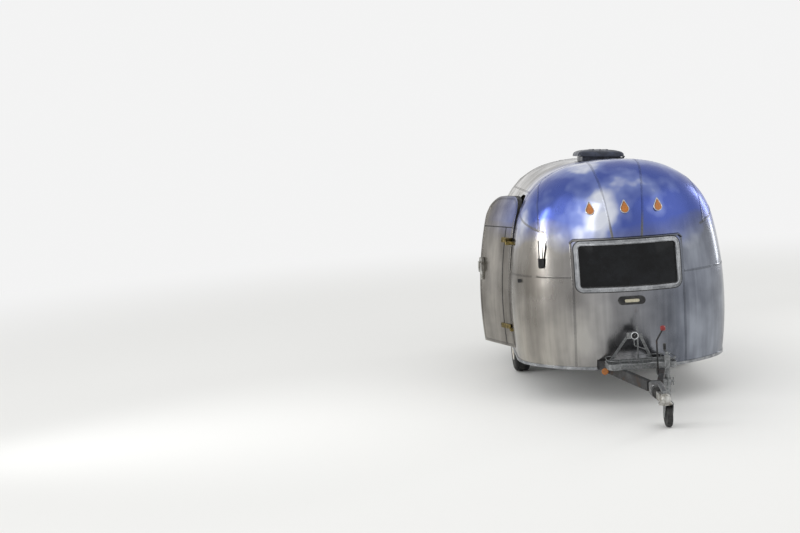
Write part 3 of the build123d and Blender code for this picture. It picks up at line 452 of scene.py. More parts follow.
def linear(code):
    # an sRGB hex colour as the linear values that shaders take
    parts = [int(code[i:i + 2], 16) / 255 for i in (0, 2, 4)]
    return tuple(v / 12.92 if v <= 0.04045 else ((v + 0.055) / 1.055)**2.4 for v in parts) + (1.0,)


def newMaterial(name):
    material = bpy.data.materials.new(name)
    material.use_nodes = True
    return material, material.node_tree, material.node_tree.nodes["Principled BSDF"]


def addNode(tree, kind, settings=(), links=()):
    # settings go to inputs by name or number, to a ramp's stops, or to the node's own properties;
    # a link comes from a socket, or from a node's first output
    node = tree.nodes.new(kind)
    for key, value in dict(settings).items():
        if key == "stops":
            elements = node.color_ramp.elements
            for i, (position, tone) in enumerate(value):
                element = elements[i] if i < 2 else elements.new(position)
                element.position = position
                element.color = linear(tone) if isinstance(tone, str) else (tone, tone, tone, 1.0)
        elif isinstance(key, int) or key in node.inputs:
            node.inputs[key].default_value = value
        else:
            setattr(node, key, value)
    for key, source in dict(links).items():
        tree.links.new(getattr(source, "outputs", [source])[0], node.inputs[key])
    return node


# Old sheet aluminium, polished once and dulled since, with painted reflections in its colour: a blue
# sky with pale patches on the front dome, the surroundings warm on the kerb side and dark on the
# street side, and upright streaks. Pattern sizes in millimetres.
skinFinish = {
    "patterns": {       # size across, stretch of the pattern, detail
        "clouds": (526, (1.0, 1.0, 1.0), 3.0),
        # the upright bands are partly painted reflection streaks
        "bands": (238, (1.0, 1.0, 0.22), 2.0),
        "rain": (38, (1.0, 1.0, 0.03), 3.0),    # rain runs and painted reflection streaks, drawn coarser than real to show
        "waves": (417, (1.0, 1.0, 1.0), 2.0),
    },
    "toneShares": {"clouds": 0.50, "bands": 0.38, "rain": 0.12},
    "skyShares": {"clouds": 0.80, "bands": 0.20},
    "turnShares": {"clouds": 0.12, "upward": 1.0},      # the clouds make the painted sky reflection's edge ragged
    # tones of the sheet, with painted reflections of the surroundings: warm and pale on the kerb side,
    # darker slate on the street side
    "kerbTonesWarmReflection": [(0.38, "726E68"), (0.64, "B2ADA4"), (0.50, "908C86")],
    "streetTonesDarkReflection": [(0.38, "5A5E67"), (0.64, "9499A3"), (0.50, "737781")],
    # a painted reflection of the blue sky, with pale patches of cloud
    "skyReflectionTones": [(0.43, "4C5B9F"), (0.63, "D8DCE7"), (0.53, "7583B9")],
    "roughness": [(0.40, 0.30), (0.60, 0.13)],
    "sideReflectionRange": (-0.9, 0.5),      # from the kerb side to the street side, metres; the painted reflection of the surroundings turns here from warm and pale to dark and cool
    "skyReflectionEnds": (2.3, 3.0),        # the painted blue sky reflection fades behind the front dome, metres
    "sheetSkyReflection": ("Normal", 0.235, 0.325),
    "stripSkyReflection": ("Object", 1.40, 1.58),
    "waveDepth": 12,
    "waveStrength": 0.35,
    "seamShade": "202226",
    "seamShading": 0.3,
}


def agedAluminiumWithPaintedReflections(name, turning, skyReflectionFrom, skyReflectionTo, shade=0.0):
    # to the eye: cloudy bands and faint rain lines, partly painted reflection streaks; painted
    # reflections of the surroundings, warm and pale on the kerb side, darker and cool on the street
    # side; and a painted blue sky reflection with pale patches where the front dome turns up to the
    # sky. turning is the coordinate whose Z tells that: Normal for the sheets, Object (height) for
    # thin strips
    material, tree, shader = newMaterial(name)
    finish = skinFinish
    coords = addNode(tree, "ShaderNodeTexCoord").outputs
    place = addNode(tree, "ShaderNodeSeparateXYZ", (), {"Vector": coords["Object"]})
    upward = addNode(tree, "ShaderNodeSeparateXYZ", (), {"Vector": coords[turning]})
    fields = {"upward": upward.outputs["Z"]}
    for label, (size, stretch, detail) in finish["patterns"].items():
        spread = addNode(tree, "ShaderNodeMapping", {"Scale": stretch},
                         {"Vector": coords["Object"]})
        fields[label] = addNode(tree, "ShaderNodeTexNoise", {"Scale": 1000 / size, "Detail": detail,
                                                             "Roughness": 0.5}, {"Vector": spread})
    sums = {}
    for label in ("tone", "sky", "turn"):
        for field, share in finish[label + "Shares"].items():
            added = {2: sums[label]} if label in sums else {}
            sums[label] = addNode(tree, "ShaderNodeMath",
                                  {"operation": "MULTIPLY_ADD", 1: share, 2: 0.0},
                                  {0: fields[field], **added})
    warm, cool, sky, gloss = (
        addNode(tree, "ShaderNodeValToRGB", {"stops": finish[stops]}, {"Fac": sums[label]})
        for stops, label in (("kerbTonesWarmReflection", "tone"), ("streetTonesDarkReflection", "tone"), ("skyReflectionTones", "sky"),
                             ("roughness", "tone")))
    side, skyReflection, front = (
        addNode(tree, "ShaderNodeMapRange", {"From Min": ends[0], "From Max": ends[1],
                                             "To Min": begin, "To Max": 1.0 - begin}, {"Value": value})
        for ends, begin, value in ((finish["sideReflectionRange"], 0.0, place.outputs["X"]),
                                   ((skyReflectionFrom, skyReflectionTo), 0.0, sums["turn"]),
                                   (finish["skyReflectionEnds"], 1.0, place.outputs["Y"])))
    # where the painted sky reflection lies: where the skin turns up, fading behind the front dome
    skyReflectionAmount = addNode(tree, "ShaderNodeMath", {"operation": "MULTIPLY"}, {0: skyReflection, 1: front})
    # painted reflections of the surroundings by side: warm and pale on the kerb, darker and cool on
    # the street
    metalAndSideReflection = addNode(tree, "ShaderNodeMix", {"data_type": "RGBA"}, {0: side, 6: warm, 7: cool})
    colour = addNode(tree, "ShaderNodeMix", {"data_type": "RGBA"},
                     {0: skyReflectionAmount, 6: metalAndSideReflection.outputs[2], 7: sky})
    if shade:
        dark = {"data_type": "RGBA", 0: shade, 7: linear(finish["seamShade"])}
        colour = addNode(tree, "ShaderNodeMix", dark, {6: colour.outputs[2]})
    # soft waves in the thin sheet, which bend what it reflects
    bump = addNode(tree, "ShaderNodeBump",
                   {"Strength": finish["waveStrength"], "Distance": finish["waveDepth"] / 1000},
                   {"Height": fields["waves"]})
    shader.inputs["Metallic"].default_value = 1.0
    tree.links.new(colour.outputs[2], shader.inputs["Base Color"])
    tree.links.new(gloss.outputs["Color"], shader.inputs["Roughness"])
    tree.links.new(bump.outputs["Normal"], shader.inputs["Normal"])
    return material


# The other finishes. Sizes in millimetres: patch is the size of uneven tone, relief the pitch and
# depth of a fine surface. Tones run from the darkest patches to the palest, roughness likewise.
finishes = {
    # lining paint, rolled on: a little yellowed, nearly even
    "lining": {"name": "yellowedLiningPaint", "tones": ("C3BBA8", "CEC6B4", "D5CEBF"),
               "roughness": (0.66, 0.55), "patch": 250, "relief": (2.0, 0.2)},
    # sheared sheet edge with old sealant in it: dark and dull
    "cutEdge": {"name": "sealedSheetEdge", "tones": ("232323", "3B3A39", "55534F"),
                "roughness": (0.70, 0.50), "metallic": 0.3, "patch": 50},
    # extruded EPDM rubber: chalky where the sun has dried it
    "sealRubber": {"name": "weatheredRubber", "tones": ("0D0D0E", "1A1A1B", "2E2E2E"),
                   "roughness": (0.78, 0.60), "patch": 40, "relief": (1.4, 0.3)},
    # polished aluminium extrusion: bright, with finger marks and dust
    "brightTrim": {"name": "polishedExtrusion", "tones": ("8E9092", "B5B7BA", "CBCDD0"),
                   "roughness": (0.34, 0.18), "metallic": 1.0, "patch": 83},
    # chrome plate: the brightest metal here
    "chrome": {"name": "chromePlate", "tones": ("98999B", "BFC1C3", "D0D2D4"),
               "roughness": (0.22, 0.08), "metallic": 1.0, "patch": 33},
    # mill-finish aluminium sheet: soft grey shine
    "shell_aluminium": {"name": "sheetAluminium", "tones": ("7D7E80", "9C9D9F", "B6B7B9"),
                        "roughness": (0.36, 0.20), "metallic": 1.0, "patch": 200},
    # anodised aluminium: even satin, duller than the sheet
    "trim_aluminium": {"name": "anodisedAluminium", "tones": ("6F7174", "8E9093", "A9ABAE"),
                       "roughness": (0.40, 0.24), "metallic": 1.0, "patch": 91, "relief": (3.3, 0.2)},
    # tinted acrylic behind a dusty film, painted near-black for the shade of the cabin behind it: a
    # low specular keeps it black
    "window_glass": {"name": "tintedAcrylicWithPaintedShade", "tones": ("040405", "0B0C0E", "15171A"),
                     "roughness": (0.05, 0.12), "patch": 333, "specular": 0.2},
    # moulded acrylic lenses: level ribs inside them, whose light and dark stripes are painted into the
    # colour as highlights; the bump gives their relief
    "amber_plastic": {"name": "amberLens", "tones": ("7C3F06", "C87A14"),
                      "roughness": (0.16, 0.32), "patch": 17, "ribs": 9.0, "coat": 0.4},
    "red_plastic": {"name": "redLens", "tones": ("5E0B0A", "B5201A"),
                    "roughness": (0.16, 0.32), "patch": 17, "ribs": 12.0, "coat": 0.4},
    "pale_lens": {"name": "clearLens", "tones": ("8D8771", "CFC9B2"),
                  "roughness": (0.16, 0.32), "patch": 17, "ribs": 6.0, "coat": 0.4},
    # sand-cast aluminium under satin black paint: grainy
    "dark_casting": {"name": "paintedCasting", "tones": ("161617", "262627", "3B3B3A"),
                     "roughness": (0.62, 0.42), "metallic": 0.3, "patch": 56, "relief": (2.2, 0.8)},
    # chassis paint, brushed on: rust brown shows at its thin places
    "black_steel": {"name": "chassisPaint", "tones": ("3A2A20", "202021", "1B1C1D", "303133"),
                    "roughness": (0.66, 0.38), "metallic": 0.15, "patch": 125, "relief": (3.8, 0.6)},
    # hot-dip zinc: grey crystals of a centimetre or so, gone dull
    "galvanised_steel": {"name": "galvanisedSteel", "tones": ("626465", "949697"),
                         "roughness": (0.50, 0.32), "metallic": 0.85, "patch": 111, "spangle": 12.5},
    # zinc-plated pressing: greasy and stained where the ball turns
    "coupler_steel": {"name": "platedPressing", "tones": ("6B665C", "A6A5A0", "C9C9C6"),
                      "roughness": (0.52, 0.26), "metallic": 0.9, "patch": 63, "relief": (5.0, 0.4)},
    # birch ply under worn varnish, its grain along the caravan
    "plywood": {"name": "varnishedBirchPly", "tones": ("5E4329", "8B6A44", "A98658"),
                "roughness": (0.62, 0.42), "patch": 111, "relief": (4.5, 0.3),
                "stretch": (1.0, 0.08, 1.0)},
    # moulded tyre rubber: black, grey with road dust in patches
    "tyre_rubber": {"name": "tyreRubber", "tones": ("131313", "1F1F1F", "35332F"),
                    "roughness": (0.82, 0.68), "patch": 71, "relief": (1.7, 0.5)},
    # stove enamel on pressed steel: cream white with faint stains
    "wheel_steel": {"name": "stoveEnamel", "tones": ("B8B2A6", "CFCBC1", "DEDBD3"),
                    "roughness": (0.46, 0.28), "metallic": 0.1, "patch": 83},
    # moulded ABS with a spark-eroded grain, drawn coarser than real
    "vent_plastic": {"name": "mouldedAbs", "tones": ("131722", "1E2434", "343B4E"),
                     "roughness": (0.50, 0.32), "patch": 111, "relief": (1.1, 0.4)},
    # enamelled plate, blank: faint water marks
    "plate_white": {"name": "plateEnamel", "tones": ("C9C7BE", "DEDDD7", "E8E7E3"),
                    "roughness": (0.42, 0.28), "patch": 71},
    # moulded phenolic, rubbed dull by hands
    "knob_red": {"name": "phenolicKnob", "tones": ("4F1214", "84201F", "9E2B27"),
                 "roughness": (0.42, 0.22), "patch": 11},
    # die-cast zinc: soft grey, slightly pitted
    "cast_zinc": {"name": "zincDieCasting", "tones": ("5F5F60", "828384", "9C9D9D"),
                  "roughness": (0.50, 0.34), "metallic": 0.8, "patch": 25, "relief": (2.0, 0.4)},
    # moulded solid rubber: greyer than the tyres
    "solid_rubber": {"name": "solidRubber", "tones": ("181818", "252525", "393835"),
                     "roughness": (0.80, 0.62), "patch": 33, "relief": (2.0, 0.4)},
    # brass gone olive brown, brighter where it rubs
    "brass_fitting": {"name": "tarnishedBrass", "tones": ("3F3A20", "6A5D34", "9A8650"),
                      "roughness": (0.55, 0.28), "metallic": 0.9, "patch": 33, "relief": (3.3, 0.3)},
}


# How these finishes mix a wide pattern with a second one, and where their tones lie along the mix
mixing = {
    "share": 0.35,              # of the second pattern
    # how far the lenses' painted rib highlights stripe their colour
    "ribHighlightShare": 0.5,
    "ribDepth": 1.2,
    "specks": 6,                # how many of them go across a patch
    "manyTones": (0.36, 0.64),
    "twoTones": (0.25, 0.75),
    "gloss": (0.38, 0.62),
    "bump": 0.5,
}


def finishedMaterial(finish):
    material, tree, shader = newMaterial(finish["name"])
    coords = addNode(tree, "ShaderNodeTexCoord")
    place = addNode(tree, "ShaderNodeMapping", {"Scale": finish.get("stretch", (1.0, 1.0, 1.0))},
                    {"Vector": coords.outputs["Object"]})
    scale = 1000 / finish["patch"]
    wide = addNode(tree, "ShaderNodeTexNoise", {"Scale": scale, "Detail": 3.0}, {"Vector": place})
    share, relief = mixing["share"], None
    if "ribs" in finish:
        share, depth = mixing["ribHighlightShare"], mixing["ribDepth"]
        ribbed = {"bands_direction": "Z", "Distortion": 0.6, "Scale": 500 / finish["ribs"]}
        relief = second = addNode(tree, "ShaderNodeTexWave", ribbed, {"Vector": place})
    elif "spangle" in finish:
        cells = addNode(tree, "ShaderNodeTexVoronoi", {"Scale": 1000 / finish["spangle"]},
                        {"Vector": place})
        second = addNode(tree, "ShaderNodeSeparateXYZ", (), {"Vector": cells.outputs["Color"]})
    else:
        speckled = {"Scale": scale * mixing["specks"], "Detail": 4.0, "Roughness": 0.6}
        second = addNode(tree, "ShaderNodeTexNoise", speckled, {"Vector": place})
    if "relief" in finish:
        pitch, depth = finish["relief"]
        relief = addNode(tree, "ShaderNodeTexNoise", {"Scale": 1000 / pitch}, {"Vector": place})
    part = addNode(tree, "ShaderNodeMath", {"operation": "MULTIPLY", 1: share}, {0: second})
    field = addNode(tree, "ShaderNodeMath", {"operation": "MULTIPLY_ADD", 1: 1.0 - share},
                    {0: wide, 2: part})
    tones = finish["tones"]
    low, high = mixing["manyTones" if len(tones) > 2 else "twoTones"]
    stops = list(zip(evenSteps(low, high, len(tones) - 1), tones))
    colour = addNode(tree, "ShaderNodeValToRGB", {"stops": stops}, {"Fac": field})
    stops = list(zip(mixing["gloss"], finish["roughness"]))
    gloss = addNode(tree, "ShaderNodeValToRGB", {"stops": stops}, {"Fac": field})
    tree.links.new(colour.outputs["Color"], shader.inputs["Base Color"])
    tree.links.new(gloss.outputs["Color"], shader.inputs["Roughness"])
    if relief:
        bump = addNode(tree, "ShaderNodeBump", {"Strength": mixing["bump"], "Distance": depth / 1000},
                       {"Height": relief})
        tree.links.new(bump.outputs["Normal"], shader.inputs["Normal"])
    for socket, key in (("Metallic", "metallic"), ("Coat Weight", "coat"),
                        ("Specular IOR Level", "specular")):
        if key in finish:
            shader.inputs[socket].default_value = finish[key]
    return material


looks = {look: finishedMaterial(finish) for look, finish in finishes.items()}
looks["skin"] = agedAluminiumWithPaintedReflections("agedAluminiumWithPaintedReflections", *skinFinish["sheetSkyReflection"])
# the seam strips take the same painted sky reflection, placed by their height
looks["strip"] = agedAluminiumWithPaintedReflections("seamAluminium", *skinFinish["stripSkyReflection"], skinFinish["seamShading"])
print(len(looks), "finishes mixed")


def skinPiece():
    mesh = booleaned("shellSkin", shellBmesh(), cutterBmesh(), "DIFFERENCE")
    dressSkin(mesh)
    addPiece("shellSkin", mesh, "caravan", "shell_aluminium",
             "front_dome", "front_panel", "front_kerb_quarter", "front_street_quarter",
             "rear_dome", "rear_panel", "rear_kerb_quarter", "rear_street_quarter",
             "roof", "kerb_wall", "street_wall")
    print("shell skin,", len(mesh.polygons), "faces")


def doorPiece():
    # the part of the shell inside the door's outline, and within reach of the hinge
    form = openings
    panel, sweep = bmesh.new(), bmesh.new()
    prism(panel, doorOutline(0.0), lambda u, v, d: (-form["sideCut"][1 - d], u, v))
    hingeY = shell["frontY"] + form["doorFront"]
    prism(sweep, [(form["hingeX"] + form["doorWidth"] * cos(a), hingeY + form["doorWidth"] * sin(a))
                  for a in evenSteps(0.0, 2 * pi, form["cutSteps"])[:-1]],
          lambda u, v, d: (u, v, form["hingeCut"][d]))
    bm = bmesh.new()
    bm.from_mesh(booleaned("doorSkin", shellBmesh(), panel, "INTERSECT"))
    mesh = booleaned("doorSkin", bm, sweep, "INTERSECT")
    dressSkin(mesh)
    mesh.transform(doorTurn())
    addPiece("doorSkin", mesh, "door", "shell_aluminium", "door_panel")
    print("door skin,", len(mesh.polygons), "faces")


skinPiece()
doorPiece()


def skinHeight(x, y):
    # height of the upper skin over a point of the plan
    low, high = shell["widest"], shell["topLevel"]
    if planDistance(x, y, high) <= 0:
        return high
    for _ in range(30):
        middle = (low + high) / 2
        if planDistance(x, y, middle) < 0:
            low = middle
        else:
            high = middle
    return low


def onSkin(x, y, height):
    return Vector((x, y, height - shell["ballHeight"]))


def endPoint(x, height, rear=False, inset=0.0):
    return onSkin(x, skinY(x, height, rear, inset), height)


def wallPoint(side, y, height):
    return onSkin(side * skinX(y, height), y, height)


def smoothPath(points, spacing):
    # the same line with evenly spaced points
    run = [0.0]
    for a, b in zip(points, points[1:]):
        run.append(run[-1] + (b - a).length)
    result, at = [], 0
    for goal in evenSteps(0.0, run[-1], max(1, round(run[-1] / spacing))):
        while at < len(run) - 2 and run[at + 1] < goal:
            at += 1
        span = run[at + 1] - run[at]
        share = (goal - run[at]) / span if span > 0 else 0.0
        result.append(points[at].lerp(points[at + 1], min(max(share, 0.0), 1.0)))
    return result


def frameAlong(points, closed=False):
    # each point with its outward normal and the direction across the line, lying in the skin
    count = len(points)
    result = []
    for i, point in enumerate(points):
        before = points[i - 1] if i or closed else points[i]
        after = points[(i + 1) % count] if i < count - 1 or closed else points[i]
        along = (after - before).normalized()
        height = min(max(point.z + shell["ballHeight"], shell["bottom"] + 0.003), shell["topLevel"])
        normal = skinNormal(point.x, point.y, height)
        result.append((point, normal, normal.cross(along).normalized()))
    return result


def layStrip(bm, points, profile, closed=False):
    # a strip along a line on the skin; the profile gives (across, out) in metres
    rows = [[bm.verts.new(point + across * u + normal * v) for u, v in profile]
            for point, normal, across in frameAlong(points, closed)]
    for low, high in list(zip(rows, rows[1:])) + ([(rows[-1], rows[0])] if closed else []):
        for i in range(len(profile) - 1):
            bm.faces.new([low[i], low[i + 1], high[i + 1], high[i]])
    if not closed:
        bm.faces.new(rows[0])
        bm.faces.new(rows[-1][::-1])


def flatProfile(width, thick):
    # its foot lies in the skin, and its upper edges are bevelled
    half, bevel, foot = width / 2, thick * 0.7, -0.002
    return [(-half, foot), (-half, thick / 2), (-half + bevel, thick), (half - bevel, thick),
            (half, thick / 2), (half, foot)]


def lathe(bm, profile, steps, toWorld, closed=False):
    # a turned body; the profile gives (along the axis, radius), and toWorld turns these and an
    # angle to a place
    rings = []
    for along, radius in profile:
        if radius <= 0:
            rings.append([bm.verts.new(toWorld(along, 0.0, 0.0))] * steps)
        else:
            rings.append([bm.verts.new(toWorld(along, radius, 2 * pi * k / steps))
                          for k in range(steps)])
    for low, high in list(zip(rings, rings[1:])) + ([(rings[-1], rings[0])] if closed else []):
        joinRings(bm, low, high)


rivetDome = [(0.0, 1.0), (0.34, 0.72), (0.5, 0.0)]      # up and out from its axis, in radii


def layRivets(bm, points, pitch, offsets, radius, closed=False, lift=0.0):
    # rivet heads in rows beside a line, lifted 0.2 mm over whatever lies on the skin
    spaced = smoothPath(points + [points[0]] if closed else points, pitch)
    if closed:
        spaced = spaced[:-1]
    for point, normal, across in frameAlong(spaced, closed):
        turn = Matrix((across, across.cross(normal), normal)).transposed()
        for offset in offsets:
            centre = point + across * offset + normal * (lift + 0.0002)
            lathe(bm, rivetDome, 6, lambda rise, out, angle: centre + turn @ Vector(
                (radius * out * cos(angle), radius * out * sin(angle), radius * rise)))


def tableValue(table, at):
    if at <= table[0][0]:
        return table[0][1]
    for (a, va), (b, vb) in zip(table, table[1:]):
        if at <= b:
            return va + (vb - va) * (at - a) / (b - a)
    return table[-1][1]


# Lines of the riveted panels. Distances are behind the shell's front, heights above the ground.
seams = {
    "beltHeight": 1.660,
    "beltStart": 0.170,         # the belt line climbs from here
    "beltSlope": 0.370,
    "panelX": 0.540,            # vertical seams beside the end windows
    "hoops": (1.000, 3.000),
    "jambTop": 1.960,           # the door's jamb takes the place of the hoop's lower part
    "wallHoop": 1.900,
    "wallLine": 1.150,
    "roofLine": 2.120,
    "quarterLine": 1.305,
    "quarterX": (0.556, 0.86),
    "skirtRise": 0.034,
    "panelStop": 0.008,         # how far an upright seam stays below the belt or the roof line
    "hoopStop": 0.01,
    "archClear": 0.03,
    "doorClear": 0.03,
    "innerGore": [(1.66, 0.140), (2.15, 0.200), (2.42, 0.250)],     # height, offset
    "outerGore": [(1.66, 0.820), (2.01, 0.810), (2.14, 0.780), (2.42, 0.700)],
    "stripWidth": 0.024,
    "stripThick": 0.0014,
    "stripStep": 0.030,
    "rivetPitch": 0.038,
    "rivetRow": 0.0065,         # two rows, this far either side of the line
    "rivetRadius": 0.0034,
}
skirtTop = shell["bottom"] + seams["skirtRise"]
hoopY, rearHoopY = (shell["frontY"] + distance for distance in seams["hoops"])


def beltLevel(y):
    past = y - shell["frontY"] - seams["beltStart"]
    return seams["beltHeight"] + seams["beltSlope"] * max(past, 0.0)


def beltPoints():
    # from the middle of the front round to the first hoop, on the +X side
    panel, level = seams["panelX"], seams["beltHeight"]
    points = [endPoint(x, level) for x in evenSteps(0.0, panel, 27)]
    along = evenSteps(skinY(panel, level), hoopY, 59)[1:]
    return points + [wallPoint(1, y, beltLevel(y)) for y in along]


def gorePoints(table):
    # up the dome from the belt to the hoop, with the offset as a function of height
    points = []
    height, step = table[0][0], 0.02
    while height < shell["topLevel"] - step:
        x = tableValue(table, height)
        if x >= halfWidthAt(height) - 0.002:
            break
        y = skinY(x, height)
        if y > hoopY:
            break
        if height >= beltLevel(y) - 0.001 or x < seams["panelX"]:
            points.append(onSkin(x, y, height))
        height += step
    last = points[-1]
    if last.y < hoopY:
        rest = zip(evenSteps(last.x, table[-1][1], 24)[1:], evenSteps(last.y, hoopY, 24)[1:])
        points += [onSkin(x, y, skinHeight(x, y)) for x, y in rest]
    return points


def hoopPoints(y, low):
    # from this height up over the roof's middle, on the +X side
    points = [wallPoint(1, y, height) for height in levelHeights(0.0) if height >= low]
    return points + [onSkin(0.0, y, shell["topLevel"])]


def risingPoints(low, high, pointAt):
    # a line going up in even steps that stops short of high
    points, height, step = [], low, 0.03
    while height < high:
        points.append(pointAt(height))
        height += step
    return points


def mirrored(points, rear, street):
    return [Vector((p.x if street else -p.x, 2 * midY - p.y if rear else p.y, p.z)) for p in points]


def seamLines():
    # every seam of the ends and the hoops; those crossing the middle come in two halves
    panel, level = seams["panelX"], seams["quarterLine"]
    halves = [beltPoints(), gorePoints(seams["innerGore"]), gorePoints(seams["outerGore"])]
    halves.append(risingPoints(skirtTop, seams["beltHeight"] - seams["panelStop"],
                               lambda height: endPoint(panel, height)))
    quarter = [endPoint(x, level) for x in evenSteps(*seams["quarterX"], 39)]
    halves.append(quarter + [wallPoint(1, y, level) for y in evenSteps(quarter[-1].y, hoopY, 23)[1:]])
    lines = [mirrored(points, rear, street) for rear in (False, True) for street in (False, True)
             for points in halves]
    for y in (hoopY, rearHoopY):
        for street in (False, True):
            low = skirtTop if street or y > hoopY else seams["jambTop"]
            lines.append(mirrored(hoopPoints(y, low), False, street))
    return lines


def wallLines():
    # lines of the two long walls, kept clear of the door and its jambs
    lines = []
    doorBack = shell["frontY"] + openings["doorFront"] + openings["doorWidth"] + seams["doorClear"]
    archAt, archHalf, archTop, corner = openings["arch"]
    distance = seams["wallHoop"]
    low = archTop + seams["archClear"] if abs(distance - archAt) < archHalf else skirtTop
    for side, begin in ((-1, doorBack), (1, hoopY)):
        for first, height in ((begin, seams["wallLine"]), (hoopY, seams["roofLine"])):
            lines.append([wallPoint(side, y, height) for y in evenSteps(first, rearHoopY, 29)])
        lines.append(risingPoints(low, seams["roofLine"] - seams["hoopStop"],
                                  lambda height: wallPoint(side, shell["frontY"] + distance, height)))
    return lines


def seamPieces():
    strips, rivets = bmesh.new(), bmesh.new()
    for line in seamLines() + wallLines():
        layStrip(strips, smoothPath(line, seams["stripStep"]),
                 flatProfile(seams["stripWidth"], seams["stripThick"]))
        layRivets(rivets, line, seams["rivetPitch"], (-seams["rivetRow"], seams["rivetRow"]),
                  seams["rivetRadius"], lift=seams["stripThick"])
    smoothPiece("seamStrips", strips, "caravan", "strip", "shell_aluminium", 40)
    smoothPiece("shellRivets", rivets, "caravan", "strip", "shell_aluminium", 40)
    print("seams laid and riveted")


seamPieces()


def evenRing(outline, spacing=0.022):
    # a closed outline in the plane, with its long edges divided
    corners = [Vector((u, v, 0.0)) for u, v in outline]
    return [(p.x, p.y) for p in smoothPath(corners + [corners[0]], spacing)[:-1]]


# Window trim: a dark seal round each flange, a bright bead, a seal on the glass and a rain lip above
windowTrim = {
    "outerSeal": (0.032, 0.010, 0.005),         # outside the opening, width, thickness
    "innerSeal": (-0.018, 0.012, 0.004),
    "glassInset": 0.010,
    "bead": (-0.002, 0.009, 0.010),
    "screws": (0.016, 0.090, 0.0036),           # outside the opening, pitch, radius
    "flangeThick": 0.007,
    "endLip": (0.548, 1.668, 0.518, 1.1),       # half length, height, where it drops, how steeply
    "sideLip": (0.345, 1.668),
    "lipProfile": [(0.010, -0.002), (0.010, 0.003), (-0.003, 0.019), (-0.011, 0.019), (-0.007, 0.004),
                   (-0.007, -0.002)],
}


def windowSites():
    # each window's outline size and a function that lays a flat point on the skin
    height, width, tall = openings["endWindow"]
    sites = [(width, tall, lambda u, v, inset, rear=rear, height=height:
              endPoint(u, height + v, rear, inset)) for rear in (False, True)]
    height, width, tall = openings["sideWindow"]
    for side, distance in openings["sideWindows"]:
        y = shell["frontY"] + distance
        sites.append((width, tall, lambda u, v, inset, side=side, y=y, height=height:
                      onSkin(side * halfWidthAt(height + v, inset), y + u, height + v)))
    return sites


def windowRing(site, outside, inset=0.0):
    width, tall, place = site
    outline = roundedOutline(width + 2 * outside, tall + 2 * outside,
                             openings["windowCorner"] + outside)
    return [place(u, v, inset) for u, v in evenRing(outline)]


def lipLine(rear):
    half, height, bend, drop = windowTrim["endLip"]
    points = [endPoint(x, height - max(abs(x) - bend, 0.0) * drop, rear)
              for x in evenSteps(-half, half, 60)]
    return points[::-1] if rear else points


def windowPieces():
    form = windowTrim
    seals, beads, screws, lips = (bmesh.new() for _ in range(4))
    out, pitch, radius = form["screws"]
    for site in windowSites():
        for bm, key, inset in ((seals, "outerSeal", 0.0), (seals, "innerSeal", form["glassInset"]),
                               (beads, "bead", 0.0)):
            outside, width, thick = form[key]
            layStrip(bm, windowRing(site, outside, inset), flatProfile(width, thick), True)
        layRivets(screws, windowRing(site, out), pitch, (0.0,), radius, True, form["flangeThick"])
    for rear in (False, True):
        layStrip(lips, lipLine(rear), form["lipProfile"])
    half, height = form["sideLip"]
    for side, distance in openings["sideWindows"]:
        y = shell["frontY"] + distance
        points = [wallPoint(side, level, height) for level in evenSteps(y - half, y + half, 30)]
        layStrip(lips, points[::side], form["lipProfile"])
    for name, bm, look, slot in (("windowSeals", seals, "sealRubber", "solid_rubber"),
                                 ("windowBeads", beads, "brightTrim", "trim_aluminium"),
                                 ("windowScrews", screws, "brightTrim", "trim_aluminium"),
                                 ("rainLips", lips, "strip", "trim_aluminium")):
        smoothPiece(name, bm, "caravan", look, slot, 40)
    print("window trim laid")


windowPieces()

# Bright teardrop bezels round the clearance lamps
lampTrim = {
    "height": 1.960,
    "offsets": (-0.331, 0.0, 0.331),
    "outline": (0.033, -0.008, 0.048, 0.058),       # half width, its level, depth below, reach above
    "margin": 0.005,
    "tipShare": 1.6,            # the tip stands off this much farther than the sides
    "ring": (0.013, 0.011),
    "spacing": 0.007,
}


def teardrop(margin):
    # an arc through the two shoulders and the lowest point, and the tip above
    half, level, below, reach = lampTrim["outline"]
    half, below, reach = half + margin, below + margin, reach + lampTrim["tipShare"] * margin
    drop = below + level
    radius = (half**2 + drop**2) / (2 * drop)
    centre = radius - below
    spread = atan2(half, centre - level)
    points = [(radius * sin(a), centre - radius * cos(a)) for a in evenSteps(-spread, spread, 16)]
    return points + [(0.0, reach)]


def lampPieces():
    bm = bmesh.new()
    outline = evenRing(teardrop(lampTrim["margin"]), lampTrim["spacing"])
    for rear in (False, True):
        for x in lampTrim["offsets"]:
            ring = [endPoint(x + u, lampTrim["height"] + v, rear) for u, v in outline]
            layStrip(bm, ring, flatProfile(*lampTrim["ring"]), True)
    smoothPiece("lampBezels", bm, "caravan", "chrome", "trim_aluminium", 40)
    print("lamp bezels laid")


lampPieces()

# Lines of the door: a frame strip with rivets inside its edge, and two dark joint lines
doorTrim = {
    "edgeStrip": (0.026, 0.0016),
    "edgeInset": 0.022,
    "crossHeight": 1.760,
    "stileFromHinge": 0.157,
    "stileFoot": 0.500,
    "joint": (0.011, 0.0030),
    "rivetPitch": 0.040,
}


def onDoor(y, z):
    return wallPoint(-1, y, z + shell["ballHeight"])


